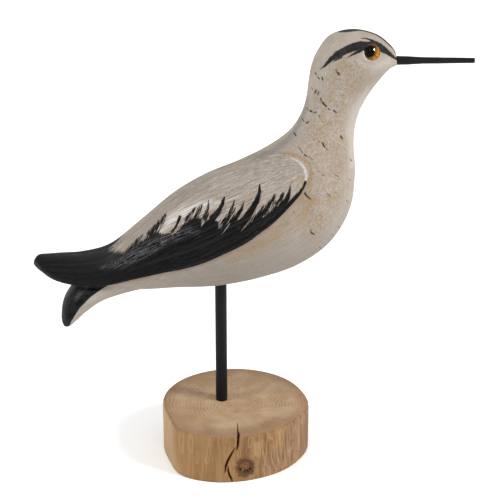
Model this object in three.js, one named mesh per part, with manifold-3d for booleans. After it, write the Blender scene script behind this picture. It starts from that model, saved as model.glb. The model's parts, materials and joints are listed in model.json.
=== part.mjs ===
// A carved and painted shorebird decoy, on an upright steel rod that stands in a slice sawn from a log.
// Millimetres, +Z up. The bird faces +X, and the origin is the centre of the slice's underside.
import * as THREE from 'three';
import { mergeVertices } from 'three/addons/utils/BufferGeometryUtils.js';
import Module from 'manifold-3d';

const wasm = await Module();
wasm.setup();

// Driving sizes
const clearance = 0.3; // gap left round every piece that is set into another
const birdLength = 240; // the carving's lines below are hundredths of this

const slabRadius = 50;
const slabThickness = 35.5;
const slabRimRound = 3.2;
const slabFootRound = 1.2;
const checkWidth = 1.3; // the drying crack, where it opens in the slice's side
const checkReach = 18; // how far the crack runs in from the side, on the top face

const rodDiameter = 8;
const rodExposed = 90; // between the slice and the belly
const rodIntoSlab = 20;
const rodIntoBird = 18;
const rodChamfer = 0.8;
const rodOffset = new THREE.Vector2(-9.5, 6); // from the slice's centre

const wingRelief = 2.3; // how far the folded wings stand proud of the body
const wingLip = 2.2; // radius of the rounding along a wing's edge
const wingRoot = 3; // how deep a wing's form runs on inside the body

const billLength = 50.8; // from the face to the tip
const billRoot = 5.4; // diameters
const billTip = 3.2;
const billTenon = 3.6;
const billTenonLength = 12;
const billTenonChamfer = 0.6;

const eyeDiameter = 11;
const eyeDome = 2.6; // how far the glass stands out of its socket's rim
const eyeSeat = 3.2; // depth of the glass inside the socket
const eyeSink = 0.5; // the socket's rim lies this deep under the head's skin

// Lines of the carving from the wing tips to the face, in hundredths of the bird's length from the point
// where the rod enters the belly: top x and z, bottom x and z, half width, and how square the section is
// (2 is an ellipse).
const bodyLines = [
  [-52.7, 6.4, -52.6, 5.8, 1.2, 2.0],
  [-51.2, 8.0, -50.6, 3.8, 3.6, 2.1],
  [-46.8, 7.9, -46.0, 1.2, 5.6, 2.2],
  [-39.0, 7.9, -38.5, -0.3, 7.4, 2.3],
  [-31.0, 10.0, -31.0, -0.5, 9.0, 2.3],
  [-22.5, 17.5, -22.0, -0.5, 10.8, 2.2],
  [-13.0, 26.0, -12.0, 0.0, 12.6, 2.2],
  [-4.0, 31.8, -1.0, 0.5, 13.7, 2.2],
  [5.5, 36.0, 10.5, 2.8, 14.0, 2.2],
  [13.5, 40.4, 21.5, 6.9, 13.2, 2.2],
  [18.9, 44.8, 30.1, 13.5, 11.6, 2.2],
  [22.1, 49.4, 35.4, 22.8, 9.6, 2.3],
  [23.6, 54.3, 36.7, 33.1, 7.9, 2.3],
  [24.3, 59.0, 36.1, 42.5, 6.7, 2.3],
  [24.9, 63.4, 37.1, 49.6, 6.5, 2.2],
  [26.4, 67.9, 39.8, 55.4, 7.0, 2.1],
  [29.6, 72.0, 42.6, 59.8, 7.4, 2.1],
  [35.5, 73.6, 44.7, 62.7, 7.0, 2.1],
  [41.5, 71.9, 45.9, 63.9, 5.3, 2.1],
  [45.2, 69.2, 46.6, 64.2, 3.3, 2.0],
  [46.8, 67.1, 47.0, 64.1, 2.0, 2.0],
];

// Lines of the tail, from inside the rump to the blunt tip below the wings
const tailLines = [
  [-20.0, 9.0, -20.0, 1.5, 6.0, 2.2],
  [-28.0, 5.5, -27.0, -1.6, 7.5, 2.2],
  [-34.0, 3.0, -33.0, -3.8, 8.0, 2.3],
  [-40.4, 0.4, -38.0, -7.4, 7.8, 2.4],
  [-44.5, -4.6, -41.0, -10.4, 6.8, 2.4],
  [-45.4, -9.5, -43.0, -12.5, 5.2, 2.3],
  [-45.0, -12.3, -44.2, -13.1, 2.6, 2.0],
];

// Edges of a folded wing on the body: the station along the body's lines, and the angle round the body in
// degrees from the middle of the back. Both run from the wing tip to the shoulder.
const wingUpperEdge = [
  [0.9, 60], [2.0, 22], [3.3, 12], [4.7, 8], [6.2, 7], [7.5, 8],
  [8.5, 12], [9.15, 22], [9.7, 35], [10.1, 49], [10.33, 60], [10.4, 66],
];
const wingLowerEdge = [
  [0.9, 100], [2.0, 126], [3.3, 122], [4.7, 108], [6.2, 105], [7.5, 95],
  [8.5, 86], [9.2, 80], [9.8, 77.5], [10.12, 74], [10.33, 71], [10.4, 68],
];

// Places on the head, in hundredths of the bird's length
const billHeight = 64.9;
const eyeStation = 17.26; // on the body's lines
const eyeAngle = 80; // degrees from the crown

// The slice's outline, as shares of its radius at even steps round it from +X towards +Y
const slabOutline = [
  1.022, 1.03, 1.054, 1.066, 1.074, 1.076, 1.074, 1.054,
  1.008, 0.992, 1.058, 1.006, 0.94, 0.906, 0.92, 0.956,
];

// The drying crack's run down the slice's side: its height as a share of the thickness, and its angle
// round the slice in degrees
const checkRun = [
  [1.1, -86], [0.96, -86], [0.85, -87], [0.72, -88], [0.55, -94.7], [0.37, -97.4],
  [0.26, -97], [0.17, -94.8], [0.04, -91], [-0.1, -90],
];
const checkAtFoot = 0.25; // the crack's reach at the underside, as a share of its reach on top

// How finely the surfaces are cut
const bodySteps = 3; // rings from one station to the next
const bodySides = 36;
const tailSides = 20;
const wingSteps = 3;
const roundSides = 24;
const domeSteps = 5;
const slabSides = 72;
const rimSteps = 3;

const share = birdLength / 100;
const seat = new THREE.Vector3(rodOffset.x, rodOffset.y, slabThickness + rodExposed);

// Closed surface through rings of equally many points, with a fan over each end, faces outwards
function skin(rings) {
  const around = rings[0].length;
  const points = rings.flat();
  const faces = [];
  for (let ring = 0; ring + 1 < rings.length; ring++) {
    for (let k = 0; k < around; k++) {
      const a = ring * around + k;
      const b = ring * around + ((k + 1) % around);
      faces.push([a, b, b + around], [a, b + around, a + around]);
    }
  }
  for (const ring of [0, rings.length - 1]) {
    const middle = new THREE.Vector3();
    rings[ring].forEach((point) => middle.addScaledVector(point, 1 / around));
    points.push(middle);
    for (let k = 0; k < around; k++) {
      const a = ring * around + k;
      const b = ring * around + ((k + 1) % around);
      faces.push(ring === 0 ? [b, a, points.length - 1] : [a, b, points.length - 1]);
    }
  }
  const volume = faces.reduce((sum, [a, b, c]) => {
    return sum + points[a].dot(points[b].clone().cross(points[c]));
  }, 0);
  const outward = volume > 0 ? faces : faces.map(([a, b, c]) => [a, c, b]);
  return new THREE.BufferGeometry().setFromPoints(points).setIndex(outward.flat());
}

// Closed geometry to a solid that can be joined and cut, and back
function solidOf(geometry) {
  const bare = geometry.clone();
  bare.deleteAttribute('normal');
  bare.deleteAttribute('uv');
  const merged = mergeVertices(bare, 1e-4);
  return new wasm.Manifold(new wasm.Mesh({
    numProp: 3,
    vertProperties: Float32Array.from(merged.attributes.position.array),
    triVerts: Uint32Array.from(merged.index.array),
  }));
}

function geometryOf(solid) {
  const { vertProperties, triVerts } = solid.getMesh();
  const geometry = new THREE.BufferGeometry();
  geometry.setAttribute('position', new THREE.BufferAttribute(Float32Array.from(vertProperties), 3));
  geometry.setIndex(new THREE.BufferAttribute(Uint32Array.from(triVerts), 1));
  return geometry;
}

// Round solid whose profile, given as [radius, height] points, starts and ends on the Z axis
function turned(profile) {
  const lathe = new THREE.LatheGeometry(profile.map(([r, z]) => new THREE.Vector2(r, z)), roundSides);
  return lathe.rotateX(Math.PI / 2);
}

// Plain round bar along Z, with an optional chamfer at both ends
function bar(radius, bottom, top, chamfer = 0) {
  const profile = [[0, bottom], [radius - chamfer, bottom], [radius, bottom + chamfer],
    [radius, top - chamfer], [radius - chamfer, top], [0, top]];
  return turned(chamfer > 0 ? profile : [profile[0], profile[2], profile[3], profile[5]]);
}

// A lofted form from its table of lines: the point at a station and an angle round it, in millimetres.
// The angle is 0 on top, and grows down the right side, which is -Y.
function loft(lines) {
  const curve = (pick) => new THREE.CatmullRomCurve3(lines.map(pick), false, 'catmullrom', 0.5);
  const top = curve(([x, z]) => new THREE.Vector3(x, 0, z));
  const bottom = curve((row) => new THREE.Vector3(row[2], 0, row[3]));
  const girth = curve((row) => new THREE.Vector3(row[4], row[5], 0));
  const last = lines.length - 1;
  const point = (station, degrees) => {
    const high = top.getPoint(station / last);
    const low = bottom.getPoint(station / last);
    const { x: halfWidth, y: square } = girth.getPoint(station / last);
    const angle = THREE.MathUtils.degToRad(degrees);
    const rounded = (value) => Math.sign(value) * Math.abs(value) ** (2 / square);
    const middle = high.clone().lerp(low, 0.5);
    return middle
      .addScaledVector(high.sub(low), rounded(Math.cos(angle)) / 2)
      .add(new THREE.Vector3(0, -halfWidth * rounded(Math.sin(angle)), 0))
      .multiplyScalar(share);
  };
  const normal = (station, degrees) => {
    const alongStep = 0.02;
    const roundStep = 0.5;
    const along = point(station + alongStep, degrees).sub(point(station - alongStep, degrees));
    const round = point(station, degrees + roundStep).sub(point(station, degrees - roundStep));
    return round.cross(along).normalize();
  };
  const surface = (sides) => {
    const rings = [];
    for (let i = 0; i <= last * bodySteps; i++) {
      const ring = [];
      for (let k = 0; k < sides; k++) ring.push(point(i / bodySteps, (k * 360) / sides));
      rings.push(ring);
    }
    return skin(rings);
  };
  return { point, normal, surface };
}

const body = loft(bodyLines);
const tail = loft(tailLines);

// The right wing, folded on the body's side: it fades into the back above, and ends in a rounded lip round
// the shoulder and along its lower edge. Places along it run from 0 at the wing tip to 1 at the shoulder.
const wingRows = [0, 0.08, 0.2, 0.38, 0.6, 0.8, 0.91, 0.965, 1]; // shares of the way down across the wing
const wingFade = 0.45; // the share of the way down where the fade into the back is over
const wingFadeSink = 0.12; // shares of the relief by which the fade starts under the body's skin
const shoulderFrom = 0.62;
const shoulderTo = 0.86;
const tipGrowsTo = 0.3; // the relief grows from a share of itself at the tip to its full height here

function rightWing() {
  const edge = (points) => {
    const knots = points.map(([station, angle]) => new THREE.Vector3(station, angle, 0));
    return new THREE.CatmullRomCurve3(knots, false, 'catmullrom', 0.5);
  };
  const upper = edge(wingUpperEdge);
  const lower = edge(wingLowerEdge);
  const sections = (wingUpperEdge.length - 1) * wingSteps;
  const lip = (distance) => Math.sqrt(1 - (1 - Math.min(distance / wingLip, 1)) ** 2);
  const rings = [];
  for (let i = 0; i <= sections; i++) {
    const along = i / sections;
    const from = upper.getPoint(along);
    const to = lower.getPoint(along);
    const width = body.point(from.x, from.y).distanceTo(body.point(to.x, to.y));
    const shoulder = THREE.MathUtils.smoothstep(along, shoulderFrom, shoulderTo);
    const relief = wingRelief * THREE.MathUtils.smoothstep(along, -tipGrowsTo / 2, tipGrowsTo);
    const place = (down, height) => {
      const at = from.clone().lerp(to, down);
      return body.point(at.x, at.y).addScaledVector(body.normal(at.x, at.y), height);
    };
    const ring = wingRows.map((down) => {
      const faded = THREE.MathUtils.smoothstep(down, 0, wingFade) - wingFadeSink * (1 - down);
      const rise = THREE.MathUtils.lerp(faded, lip(down * width), shoulder);
      return place(down, relief * rise * lip((1 - down) * width));
    });
    ring.push(place(1, -wingRoot), place(0, -wingRoot));
    rings.push(ring);
  }
  return skin(rings);
}

// The glass eyes: a dome on a short cylinder, on the head's skin, looking straight out of it
const eyeProfile = [[0, -eyeSeat], [eyeDiameter / 2, -eyeSeat], [eyeDiameter / 2, 0]];
for (let k = 1; k < domeSteps; k++) {
  const angle = (k / domeSteps) * (Math.PI / 2);
  eyeProfile.push([(eyeDiameter / 2) * Math.cos(angle), eyeDome * Math.sin(angle)]);
}
eyeProfile.push([0, eyeDome]);

function onRightOfHead(geometry) {
  const out = body.normal(eyeStation, eyeAngle);
  const place = body.point(eyeStation, eyeAngle).addScaledVector(out, -eyeSink);
  const turn = new THREE.Quaternion().setFromUnitVectors(new THREE.Vector3(0, 0, 1), out);
  return geometry.applyQuaternion(turn).translate(place.x, place.y, place.z);
}

// Mirror image through the bird's middle plane, with the faces turned back outwards
function mirrored(geometry) {
  const image = geometry.clone().scale(1, -1, 1);
  const index = image.index.array;
  for (let k = 0; k < index.length; k += 3) {
    const kept = index[k + 1];
    index[k + 1] = index[k + 2];
    index[k + 2] = kept;
  }
  return image;
}

// The bill: a tapering round peg with a rounded tip, and a thinner tenon that is set in the face
const faceX = Math.max(bodyLines.at(-1)[0], bodyLines.at(-1)[2]) * share;
const billFromX = faceX + clearance;
const billToX = faceX + billLength;
const billEnd = billTip / 4; // length of the rounding at the tip

function alongX(geometry) {
  return geometry.rotateY(Math.PI / 2).translate(0, 0, billHeight * share);
}

const bill = alongX(turned([
  [0, billFromX - billTenonLength],
  [billTenon / 2 - billTenonChamfer, billFromX - billTenonLength],
  [billTenon / 2, billFromX - billTenonLength + billTenonChamfer],
  [billTenon / 2, billFromX],
  [billRoot / 2, billFromX],
  [billTip / 2, billToX - billEnd],
  [billTip / 3, billToX - billEnd / 4],
  [0, billToX],
]));
const billSocket = alongX(bar(
  billTenon / 2 + clearance,
  billFromX - billTenonLength - clearance,
  billToX,
));

// The carved bird is one piece of wood: body, wings and tail, with holes for rod, bill and eyes
const eye = onRightOfHead(turned(eyeProfile));
const eyeSocket = onRightOfHead(bar(eyeDiameter / 2 + clearance, -eyeSeat - clearance, eyeDiameter));
const rodHole = bar(rodDiameter / 2 + clearance, -rodExposed, rodIntoBird + clearance);
const forms = [tail.surface(tailSides), rightWing(), mirrored(rightWing())];
const cuts = [rodHole, billSocket, eyeSocket, mirrored(eyeSocket)];
const whole = forms.reduce((joined, form) => joined.add(solidOf(form)), solidOf(body.surface(bodySides)));
const bird = cuts.reduce((kept, cut) => kept.subtract(solidOf(cut)), whole);

// The slice of log: an uneven outline with rounded rims, a hole for the rod and a drying crack
const slabRadiusAt = (degrees) => {
  const knots = slabOutline.map((value) => new THREE.Vector3(value, 0, 0));
  const turns = (((degrees % 360) + 360) % 360) / 360;
  return slabRadius * new THREE.CatmullRomCurve3(knots, true, 'catmullrom', 0.5).getPoint(turns).x;
};

function roundSlab(degrees, inset, height) {
  const angle = THREE.MathUtils.degToRad(degrees);
  const radius = slabRadiusAt(degrees) - inset;
  return new THREE.Vector3(radius * Math.cos(angle), radius * Math.sin(angle), height);
}

function slab() {
  const levels = [];
  for (let k = 0; k <= rimSteps; k++) {
    const angle = (k / rimSteps) * (Math.PI / 2);
    levels.push([slabFootRound * (1 - Math.sin(angle)), slabFootRound * (1 - Math.cos(angle))]);
  }
  for (let k = 0; k <= rimSteps; k++) {
    const angle = (k / rimSteps) * (Math.PI / 2);
    levels.push([slabRimRound * (1 - Math.cos(angle)), slabThickness - slabRimRound * (1 - Math.sin(angle))]);
  }
  return skin(levels.map(([inset, height]) => {
    return Array.from({ length: slabSides }, (_, k) => roundSlab((k * 360) / slabSides, inset, height));
  }));
}

// The crack is a wedge, widest where it opens in the side and sharp at its inner edge
function dryingCheck() {
  return skin(checkRun.map(([level, degrees]) => {
    const up = THREE.MathUtils.clamp(level, 0, 1);
    const reach = checkReach * THREE.MathUtils.lerp(checkAtFoot, 1, up ** 3);
    const outside = checkWidth;
    const spread = THREE.MathUtils.radToDeg(checkWidth / 2 / slabRadius) * (1 + outside / reach);
    return [
      roundSlab(degrees, reach, level * slabThickness),
      roundSlab(degrees - spread, -outside, level * slabThickness),
      roundSlab(degrees + spread, -outside, level * slabThickness),
    ];
  }));
}

const rodFoot = slabThickness - rodIntoSlab;
const slabHole = bar(rodDiameter / 2 + clearance, rodFoot - clearance, slabThickness + rodExposed);
slabHole.translate(rodOffset.x, rodOffset.y, 0);
const base = solidOf(slab()).subtract(solidOf(dryingCheck())).subtract(solidOf(slabHole));

// Finishes
const paleWood = new THREE.MeshStandardMaterial({ color: 0xc9bfb0, roughness: 0.6, metalness: 0 });
const blackPaint = new THREE.MeshStandardMaterial({ color: 0x1d1b1b, roughness: 0.5, metalness: 0 });
const blackSteel = new THREE.MeshStandardMaterial({ color: 0x262322, roughness: 0.55, metalness: 0.4 });
const amberGlass = new THREE.MeshStandardMaterial({ color: 0xb8760d, roughness: 0.05, metalness: 0 });
const bareWood = new THREE.MeshStandardMaterial({ color: 0xb5956f, roughness: 0.8, metalness: 0 });

const decoy = new THREE.Group();

function add(parent, name, geometry, material) {
  const mesh = new THREE.Mesh(geometry, material);
  mesh.name = name;
  parent.add(mesh);
  return mesh;
}

add(decoy, 'base', geometryOf(base), bareWood);
add(decoy, 'rod', bar(rodDiameter / 2, rodFoot, seat.z + rodIntoBird, rodChamfer), blackSteel)
  .position.set(rodOffset.x, rodOffset.y, 0);

const birdOnRod = new THREE.Group();
birdOnRod.position.copy(seat);
decoy.add(birdOnRod);
add(birdOnRod, 'carved_bird', geometryOf(bird), paleWood);
add(birdOnRod, 'bill', bill, blackPaint);
add(birdOnRod, 'eye_right', eye, amberGlass);
add(birdOnRod, 'eye_left', mirrored(eye), amberGlass);

export default decoy;
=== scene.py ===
import json
from math import cos, pi, radians, sin

import bmesh
import bpy
import numpy as np
from mathutils import Euler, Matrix, Vector, kdtree, noise

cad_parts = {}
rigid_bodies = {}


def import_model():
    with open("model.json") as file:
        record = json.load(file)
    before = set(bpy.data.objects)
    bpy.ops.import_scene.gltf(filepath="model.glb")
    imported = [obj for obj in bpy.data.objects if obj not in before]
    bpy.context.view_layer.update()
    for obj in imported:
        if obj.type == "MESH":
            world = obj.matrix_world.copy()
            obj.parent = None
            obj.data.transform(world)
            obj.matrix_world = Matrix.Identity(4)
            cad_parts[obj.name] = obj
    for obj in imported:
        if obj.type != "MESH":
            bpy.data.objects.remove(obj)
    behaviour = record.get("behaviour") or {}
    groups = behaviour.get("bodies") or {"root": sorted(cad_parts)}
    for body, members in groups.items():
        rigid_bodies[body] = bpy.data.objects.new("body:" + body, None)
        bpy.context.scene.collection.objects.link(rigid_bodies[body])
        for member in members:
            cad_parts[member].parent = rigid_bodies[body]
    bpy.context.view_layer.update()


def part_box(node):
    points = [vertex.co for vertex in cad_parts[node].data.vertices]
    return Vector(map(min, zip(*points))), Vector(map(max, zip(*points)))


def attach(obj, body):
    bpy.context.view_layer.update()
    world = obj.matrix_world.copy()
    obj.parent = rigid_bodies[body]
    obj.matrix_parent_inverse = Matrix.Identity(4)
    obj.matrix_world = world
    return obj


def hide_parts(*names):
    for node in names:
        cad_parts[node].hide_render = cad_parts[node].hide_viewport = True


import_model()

# The camera looks at the decoy's right side and down on it, as the photograph's did. What is painted or
# carved at a place read off the photograph is found through it, in pixels of the 500 by 500 frame.
photo_side = 500
camera_tilt = radians(23.5)
camera_distance = 1100.0
camera_target = np.array([10.3, 6.0, 149.0])
mm_per_pixel = 0.672
sensor_width = 36.0

forward = np.array([0.0, cos(camera_tilt), -sin(camera_tilt)])
upward = np.array([0.0, sin(camera_tilt), cos(camera_tilt)])
camera_place = camera_target - forward * camera_distance
camera_data = bpy.data.cameras.new("camera")
camera_data.sensor_width = sensor_width
camera_data.lens = sensor_width * camera_distance / (mm_per_pixel * photo_side)
camera_data.clip_end = 50.0
camera = bpy.data.objects.new("camera", camera_data)
camera.location = camera_place / 1000
camera.rotation_euler = Euler((pi / 2 - camera_tilt, 0.0, 0.0))
bpy.context.collection.objects.link(camera)
bpy.context.scene.camera = camera


def in_photo(points):
    """Where points in millimetres are seen in the photograph, as columns and rows in pixels."""
    seen = points - camera_place
    scale = camera_distance / mm_per_pixel / (seen @ forward)
    middle = photo_side / 2
    return np.stack([middle + seen[..., 0] * scale, middle - (seen @ upward) * scale], -1)


# The base is a slice sawn from a thin log with its bark off: bare, dry wood, sanded on the top, with growth
# rings round an off-centre pith, weathered ridges and a knot on the side, and a crack that opened in drying.
slice_radius = 50.0
slice_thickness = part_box("base")[1][2] * 1000
rim_round = 3.2
foot_round = 1.2
slice_outline = [
    1.022, 1.03, 1.054, 1.066, 1.074, 1.076, 1.074, 1.054,
    1.008, 0.992, 1.058, 1.006, 0.94, 0.906, 0.92, 0.956,
]
pith = np.array([1.6, -12.1])
ring_width = 2.3
crack_depth = 6.0
crack_runs_px = [
    [(237.4, 423), (237.6, 428), (237.8, 431.5), (238.6, 434), (238.3, 439.5), (238.0, 445), (236.5, 450.5)],
    [(234.9, 448), (231.3, 454.5), (227.9, 460.6), (225.9, 466.3), (225.0, 473)],
    [(228.4, 466), (228.0, 470.7), (229.6, 475.8), (231.6, 479.2), (232.0, 483.5)],
]
crack_halves = [
    [0.1, 0.3, 0.6, 1.3, 1.15, 1.15, 0.3],
    [0.2, 1.0, 1.1, 1.0, 0.2],
    [0.1, 0.75, 0.9, 1.0, 0.9],
]
groove_runs_px = [
    [(210.6, 441.6), (209.2, 450), (207, 462)],
    [(182, 430), (181.4, 441), (182, 452)],
    [(191, 434), (190.6, 444), (191.3, 451)],
    [(197.5, 452), (197, 458), (197, 462)],
    [(281, 432), (281.6, 441), (281, 453)],
    [(286.4, 423), (286, 440), (287, 465)],
    [(291, 420), (291.2, 430), (291.4, 438)],
    [(297, 416), (297.6, 440), (297, 462)],
    [(271.5, 447), (273, 458), (276.5, 468)],
    [(277.5, 441), (279, 455), (282, 466)],
    [(262, 441), (265, 452), (266, 464)],
    [(251, 436), (250, 441), (249.5, 446)],
]
knot_px = (245.3, 467.0)
knot_reach = 6.6
knot_holes_px = [(245.0, 472.0), (250.0, 469.6), (240.2, 469.8), (247.6, 471.4)]
top_checks_px = [
    [(166, 399.4), (172, 398.2), (180, 397.6)],
    [(183, 400.4), (190, 399.2), (198, 398.8)],
    [(171, 395), (178, 394), (186, 393.8)],
]
# Heights, depths and widths of the relief, in millimetres
knot_rim, knot_rim_width = 0.45, 1.5
knot_dip, knot_dip_width = 0.6, 3.4
hole_depth, hole_width = 1.6, 0.85
groove_depth, groove_lip, check_depth = 0.35, 0.15, 0.25
shallow_furrow, deeper_furrow = 0.10, 0.36
furrow_size, fine_furrow_size = (3.6, 28), (1.3, 16)
furrowed_from_px = (250, 268)
# Marks read off the photograph lie in front of this depth, on faces that don't point further down than this
front_depth, lowest_facing = 5.0, -0.8
# Faces that point up less than this are the side
side_facing = 0.7
nowhere = 99.0
# What the fibres part to pass: its place, half its width and half its height
passed_by_fibres = [(knot_px, 6.0, 9.0), ((257.5, 450.0), 3.4, 6.0)]
eyelet_px, eyelet_size_px = [227.0, 441.0], [8.5, 5.6]


def smooth(value, low, high):
    """0 below low, 1 above high, and smooth between."""
    t = np.clip((value - low) / (high - low), 0, 1)
    return t * t * (3 - 2 * t)


def spline(knots, places, closed=False):
    """The uniform Catmull-Rom curve through rows of numbers, at places counted in knots."""
    knots = np.asarray(knots, float)
    count = len(knots)
    start = np.floor(places).astype(int)
    if closed:
        start, t = start % count, (places - np.floor(places))[..., None]
        rows = [knots[(start + step) % count] for step in (-1, 0, 1, 2)]
    else:
        start = np.clip(start, 0, count - 2)
        t = (places - start)[..., None]
        longer = np.concatenate([[2 * knots[0] - knots[1]], knots, [2 * knots[-1] - knots[-2]]])
        rows = [longer[start + step] for step in (0, 1, 2, 3)]
    before, here, there, after = rows
    return 0.5 * (
        2 * here + (there - before) * t + (2 * before - 5 * here + 4 * there - after) * t**2
        + (3 * here - before - 3 * there + after) * t**3
    )


def mesh_object(name, points, faces):
    """A mesh piece from points in millimetres."""
    mesh = bpy.data.meshes.new(name)
    mesh.from_pydata((np.asarray(points) / 1000).tolist(), [], faces)
    mesh.update()
    made = bpy.data.objects.new(name, mesh)
    bpy.context.collection.objects.link(made)
    return made


def skin(rings):
    """Points and faces of the closed surface through rings, with a fan over each end."""
    count, around = rings.shape[:2]
    k = np.arange(around)
    after = (k + 1) % around
    faces = []
    for ring in range(count - 1):
        here = ring * around
        quads = np.stack([here + k, here + after, here + around + after, here + around + k], -1)
        faces.extend(quads.tolist())
    first, last = count * around, count * around + 1
    end = (count - 1) * around
    faces.extend([[int(b), int(a), first] for a, b in zip(k, after)])
    faces.extend([[int(end + a), int(end + b), last] for a, b in zip(k, after)])
    points = np.concatenate([rings.reshape(-1, 3), [rings[0].mean(0), rings[-1].mean(0)]])
    return points, faces


def put(piece, name, values):
    """Keeps a number or a vector for each vertex, as an attribute that materials read."""
    values = np.asarray(values, np.float32)
    kind, key = ("FLOAT_VECTOR", "vector") if values.ndim == 2 else ("FLOAT", "value")
    piece.data.attributes.new(name, kind, "POINT").data.foreach_set(key, values.ravel())


def places_of(piece):
    """A piece's vertices in millimetres, and their normals."""
    count = len(piece.data.vertices)
    points, normals = np.empty(count * 3), np.empty(count * 3)
    piece.data.vertices.foreach_get("co", points)
    piece.data.vertex_normals.foreach_get("vector", normals)
    return points.reshape(-1, 3) * 1000, normals.reshape(-1, 3)


def move(piece, points):
    """Puts a piece's vertices at points in millimetres."""
    piece.data.vertices.foreach_set("co", (points / 1000).ravel())
    piece.data.update()


def along_run(at, run, halves):
    """How far inside a tapering run of straight stretches each place is, and less than nothing outside it."""
    inside = np.full(len(at), -1e3)
    for k in range(len(run) - 1):
        start, step = np.array(run[k], float), np.subtract(run[k + 1], run[k])
        t = np.clip(((at - start) @ step) / (step @ step), 0, 1)
        away = np.linalg.norm(at - start - t[:, None] * step, axis=1)
        inside = np.maximum(inside, halves[k] * (1 - t) + halves[k + 1] * t - away)
    return inside


def outline_at(angle):
    """The slice's radius in a direction from its middle."""
    shares = np.array(slice_outline)[:, None]
    places = (angle % (2 * pi)) / (2 * pi) * len(slice_outline)
    return slice_radius * spline(shares, places, closed=True)[..., 0]


# Steps round the slice are finest at the crack, and fine over the grooves to its right
angles = np.radians(np.concatenate([
    np.arange(0, 256, 0.9), np.arange(256, 284, 0.2), np.arange(284, 330, 0.4), np.arange(330, 359.5, 0.9),
]))
quarter = np.linspace(0, pi / 2, 6)
profile = [(part, None, slice_thickness) for part in np.linspace(0.03, 0.99, 34)]
profile += [(1.0, rim_round * (1 - sin(a)), slice_thickness - rim_round * (1 - cos(a))) for a in quarter]
side_heights = np.linspace(slice_thickness - rim_round, foot_round, 74)[1:-1]
profile += [(1.0, 0.0, height) for height in side_heights]
profile += [(1.0, foot_round * (1 - cos(a)), foot_round * (1 - sin(a))) for a in quarter[:5]]
profile += [(part, None, 0.0) for part in np.linspace(0.96, 0.04, 8)]
edge = outline_at(angles)
rings = []
for part, inset, height in profile:
    face_round = rim_round if height > slice_thickness / 2 else foot_round
    radius = part * (edge - face_round) if inset is None else edge - inset
    ring = [radius * np.cos(angles), radius * np.sin(angles), np.full_like(angles, height)]
    rings.append(np.stack(ring, -1))
log_slice = mesh_object("log_slice", *skin(np.array(rings)[::-1]))
points, normals = places_of(log_slice)
seen = in_photo(points)
facing = (points[:, 1] < front_depth) & (normals[:, 2] > lowest_facing)
on_side = facing & (normals[:, 2] < side_facing)
on_top = facing & ~on_side


def inside_runs(runs_px, halves, where):
    """How far inside the nearest of several runs each place of the slice is, in millimetres."""
    inside = np.max([along_run(seen, run_px, half) for run_px, half in zip(runs_px, halves)], axis=0)
    return np.where(where, inside * mm_per_pixel, -nowhere)


crack = inside_runs(crack_runs_px, crack_halves, facing)
groove = inside_runs(groove_runs_px, [[0.1, 0.7, 0.1]] * len(groove_runs_px), on_side)
check = inside_runs(top_checks_px, [[0.1, 0.5, 0.1]] * len(top_checks_px), on_top)
knot_away = np.where(on_side, np.linalg.norm(seen - knot_px, axis=1) * mm_per_pixel, nowhere)
raised = np.exp(-(((knot_away - knot_reach) / knot_rim_width) ** 2))
relief = knot_rim * raised - knot_dip * np.exp(-((knot_away / knot_dip_width) ** 2))
holes = np.zeros(len(points))
for hole in knot_holes_px:
    away = np.linalg.norm(seen - hole, axis=1) * mm_per_pixel
    holes = np.maximum(holes, np.where(on_side, np.exp(-((away / hole_width) ** 2)), 0))
relief -= hole_depth * holes
relief -= crack_depth * np.clip(crack / 0.5, 0, 1) ** 0.6 + groove_depth * smooth(groove, -0.6, 0.5)
relief -= check_depth * smooth(check, -0.3, 0.3)
relief += groove_lip * np.exp(-(((groove + 1.2) / 0.6) ** 2))
furrowed = smooth(seen[:, 0], *furrowed_from_px) * on_side
run = np.arctan2(points[:, 0], -points[:, 1]) * slice_radius


def furrows(along, height, size, seed):
    """Upright furrows of a size, as noise from -1 to 1."""
    return noise.noise((along / size[0], height / size[1], seed))


furrow = np.array([
    furrows(along, height, furrow_size, 3.0) + 0.25 * furrows(along, height, fine_furrow_size, 7.0)
    for along, height in zip(run, points[:, 2])])
furrow_depth = (shallow_furrow + deeper_furrow * furrowed) * smooth(np.abs(furrow), 0, 0.5)
relief -= np.where(np.abs(normals[:, 2]) < side_facing, furrow_depth, 0)
shaped = points + normals * relief[:, None]
shaped[:, 2] = np.clip(shaped[:, 2], 0, slice_thickness)
move(log_slice, shaped)

# Growth counts millimetres from the pith, stretched so that every ring closes inside the slice
around = np.linspace(-pi, pi, 721)
rim = np.stack([outline_at(around) * np.cos(around), outline_at(around) * np.sin(around)], -1) - pith
rim_angle = np.arctan2(rim[:, 1], rim[:, 0])
order = np.argsort(rim_angle)
away = points[:, :2] - pith
reach = np.interp(
    np.arctan2(away[:, 1], away[:, 0]), rim_angle[order], np.linalg.norm(rim, axis=1)[order], period=2 * pi)
distance = np.linalg.norm(away, axis=1)
from_pith = distance / reach * slice_radius
put(log_slice, "growth", from_pith)
# Painted shade: the sawn top is darker in a band towards its outer edge, on its front half only, kept as
# "rim"
painted_front_shade = (smooth(from_pith, 28, 37) - 0.5 * smooth(from_pith, 42, 48)) * smooth(normals[:, 2], 0.25, 0.6)
put(log_slice, "rim", painted_front_shade * smooth(-points[:, 1], 4, 24))
ray_way = away / np.maximum(distance, 1e-3)[:, None] * slice_radius
put(log_slice, "ray", np.column_stack([ray_way, distance / 12]))
put(log_slice, "crack", crack)
put(log_slice, "groove", groove)
put(log_slice, "check", check)
put(log_slice, "knot", knot_away)
put(log_slice, "hole", holes)
put(log_slice, "furrow", furrow)
put(log_slice, "furrowed", furrowed)

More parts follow.
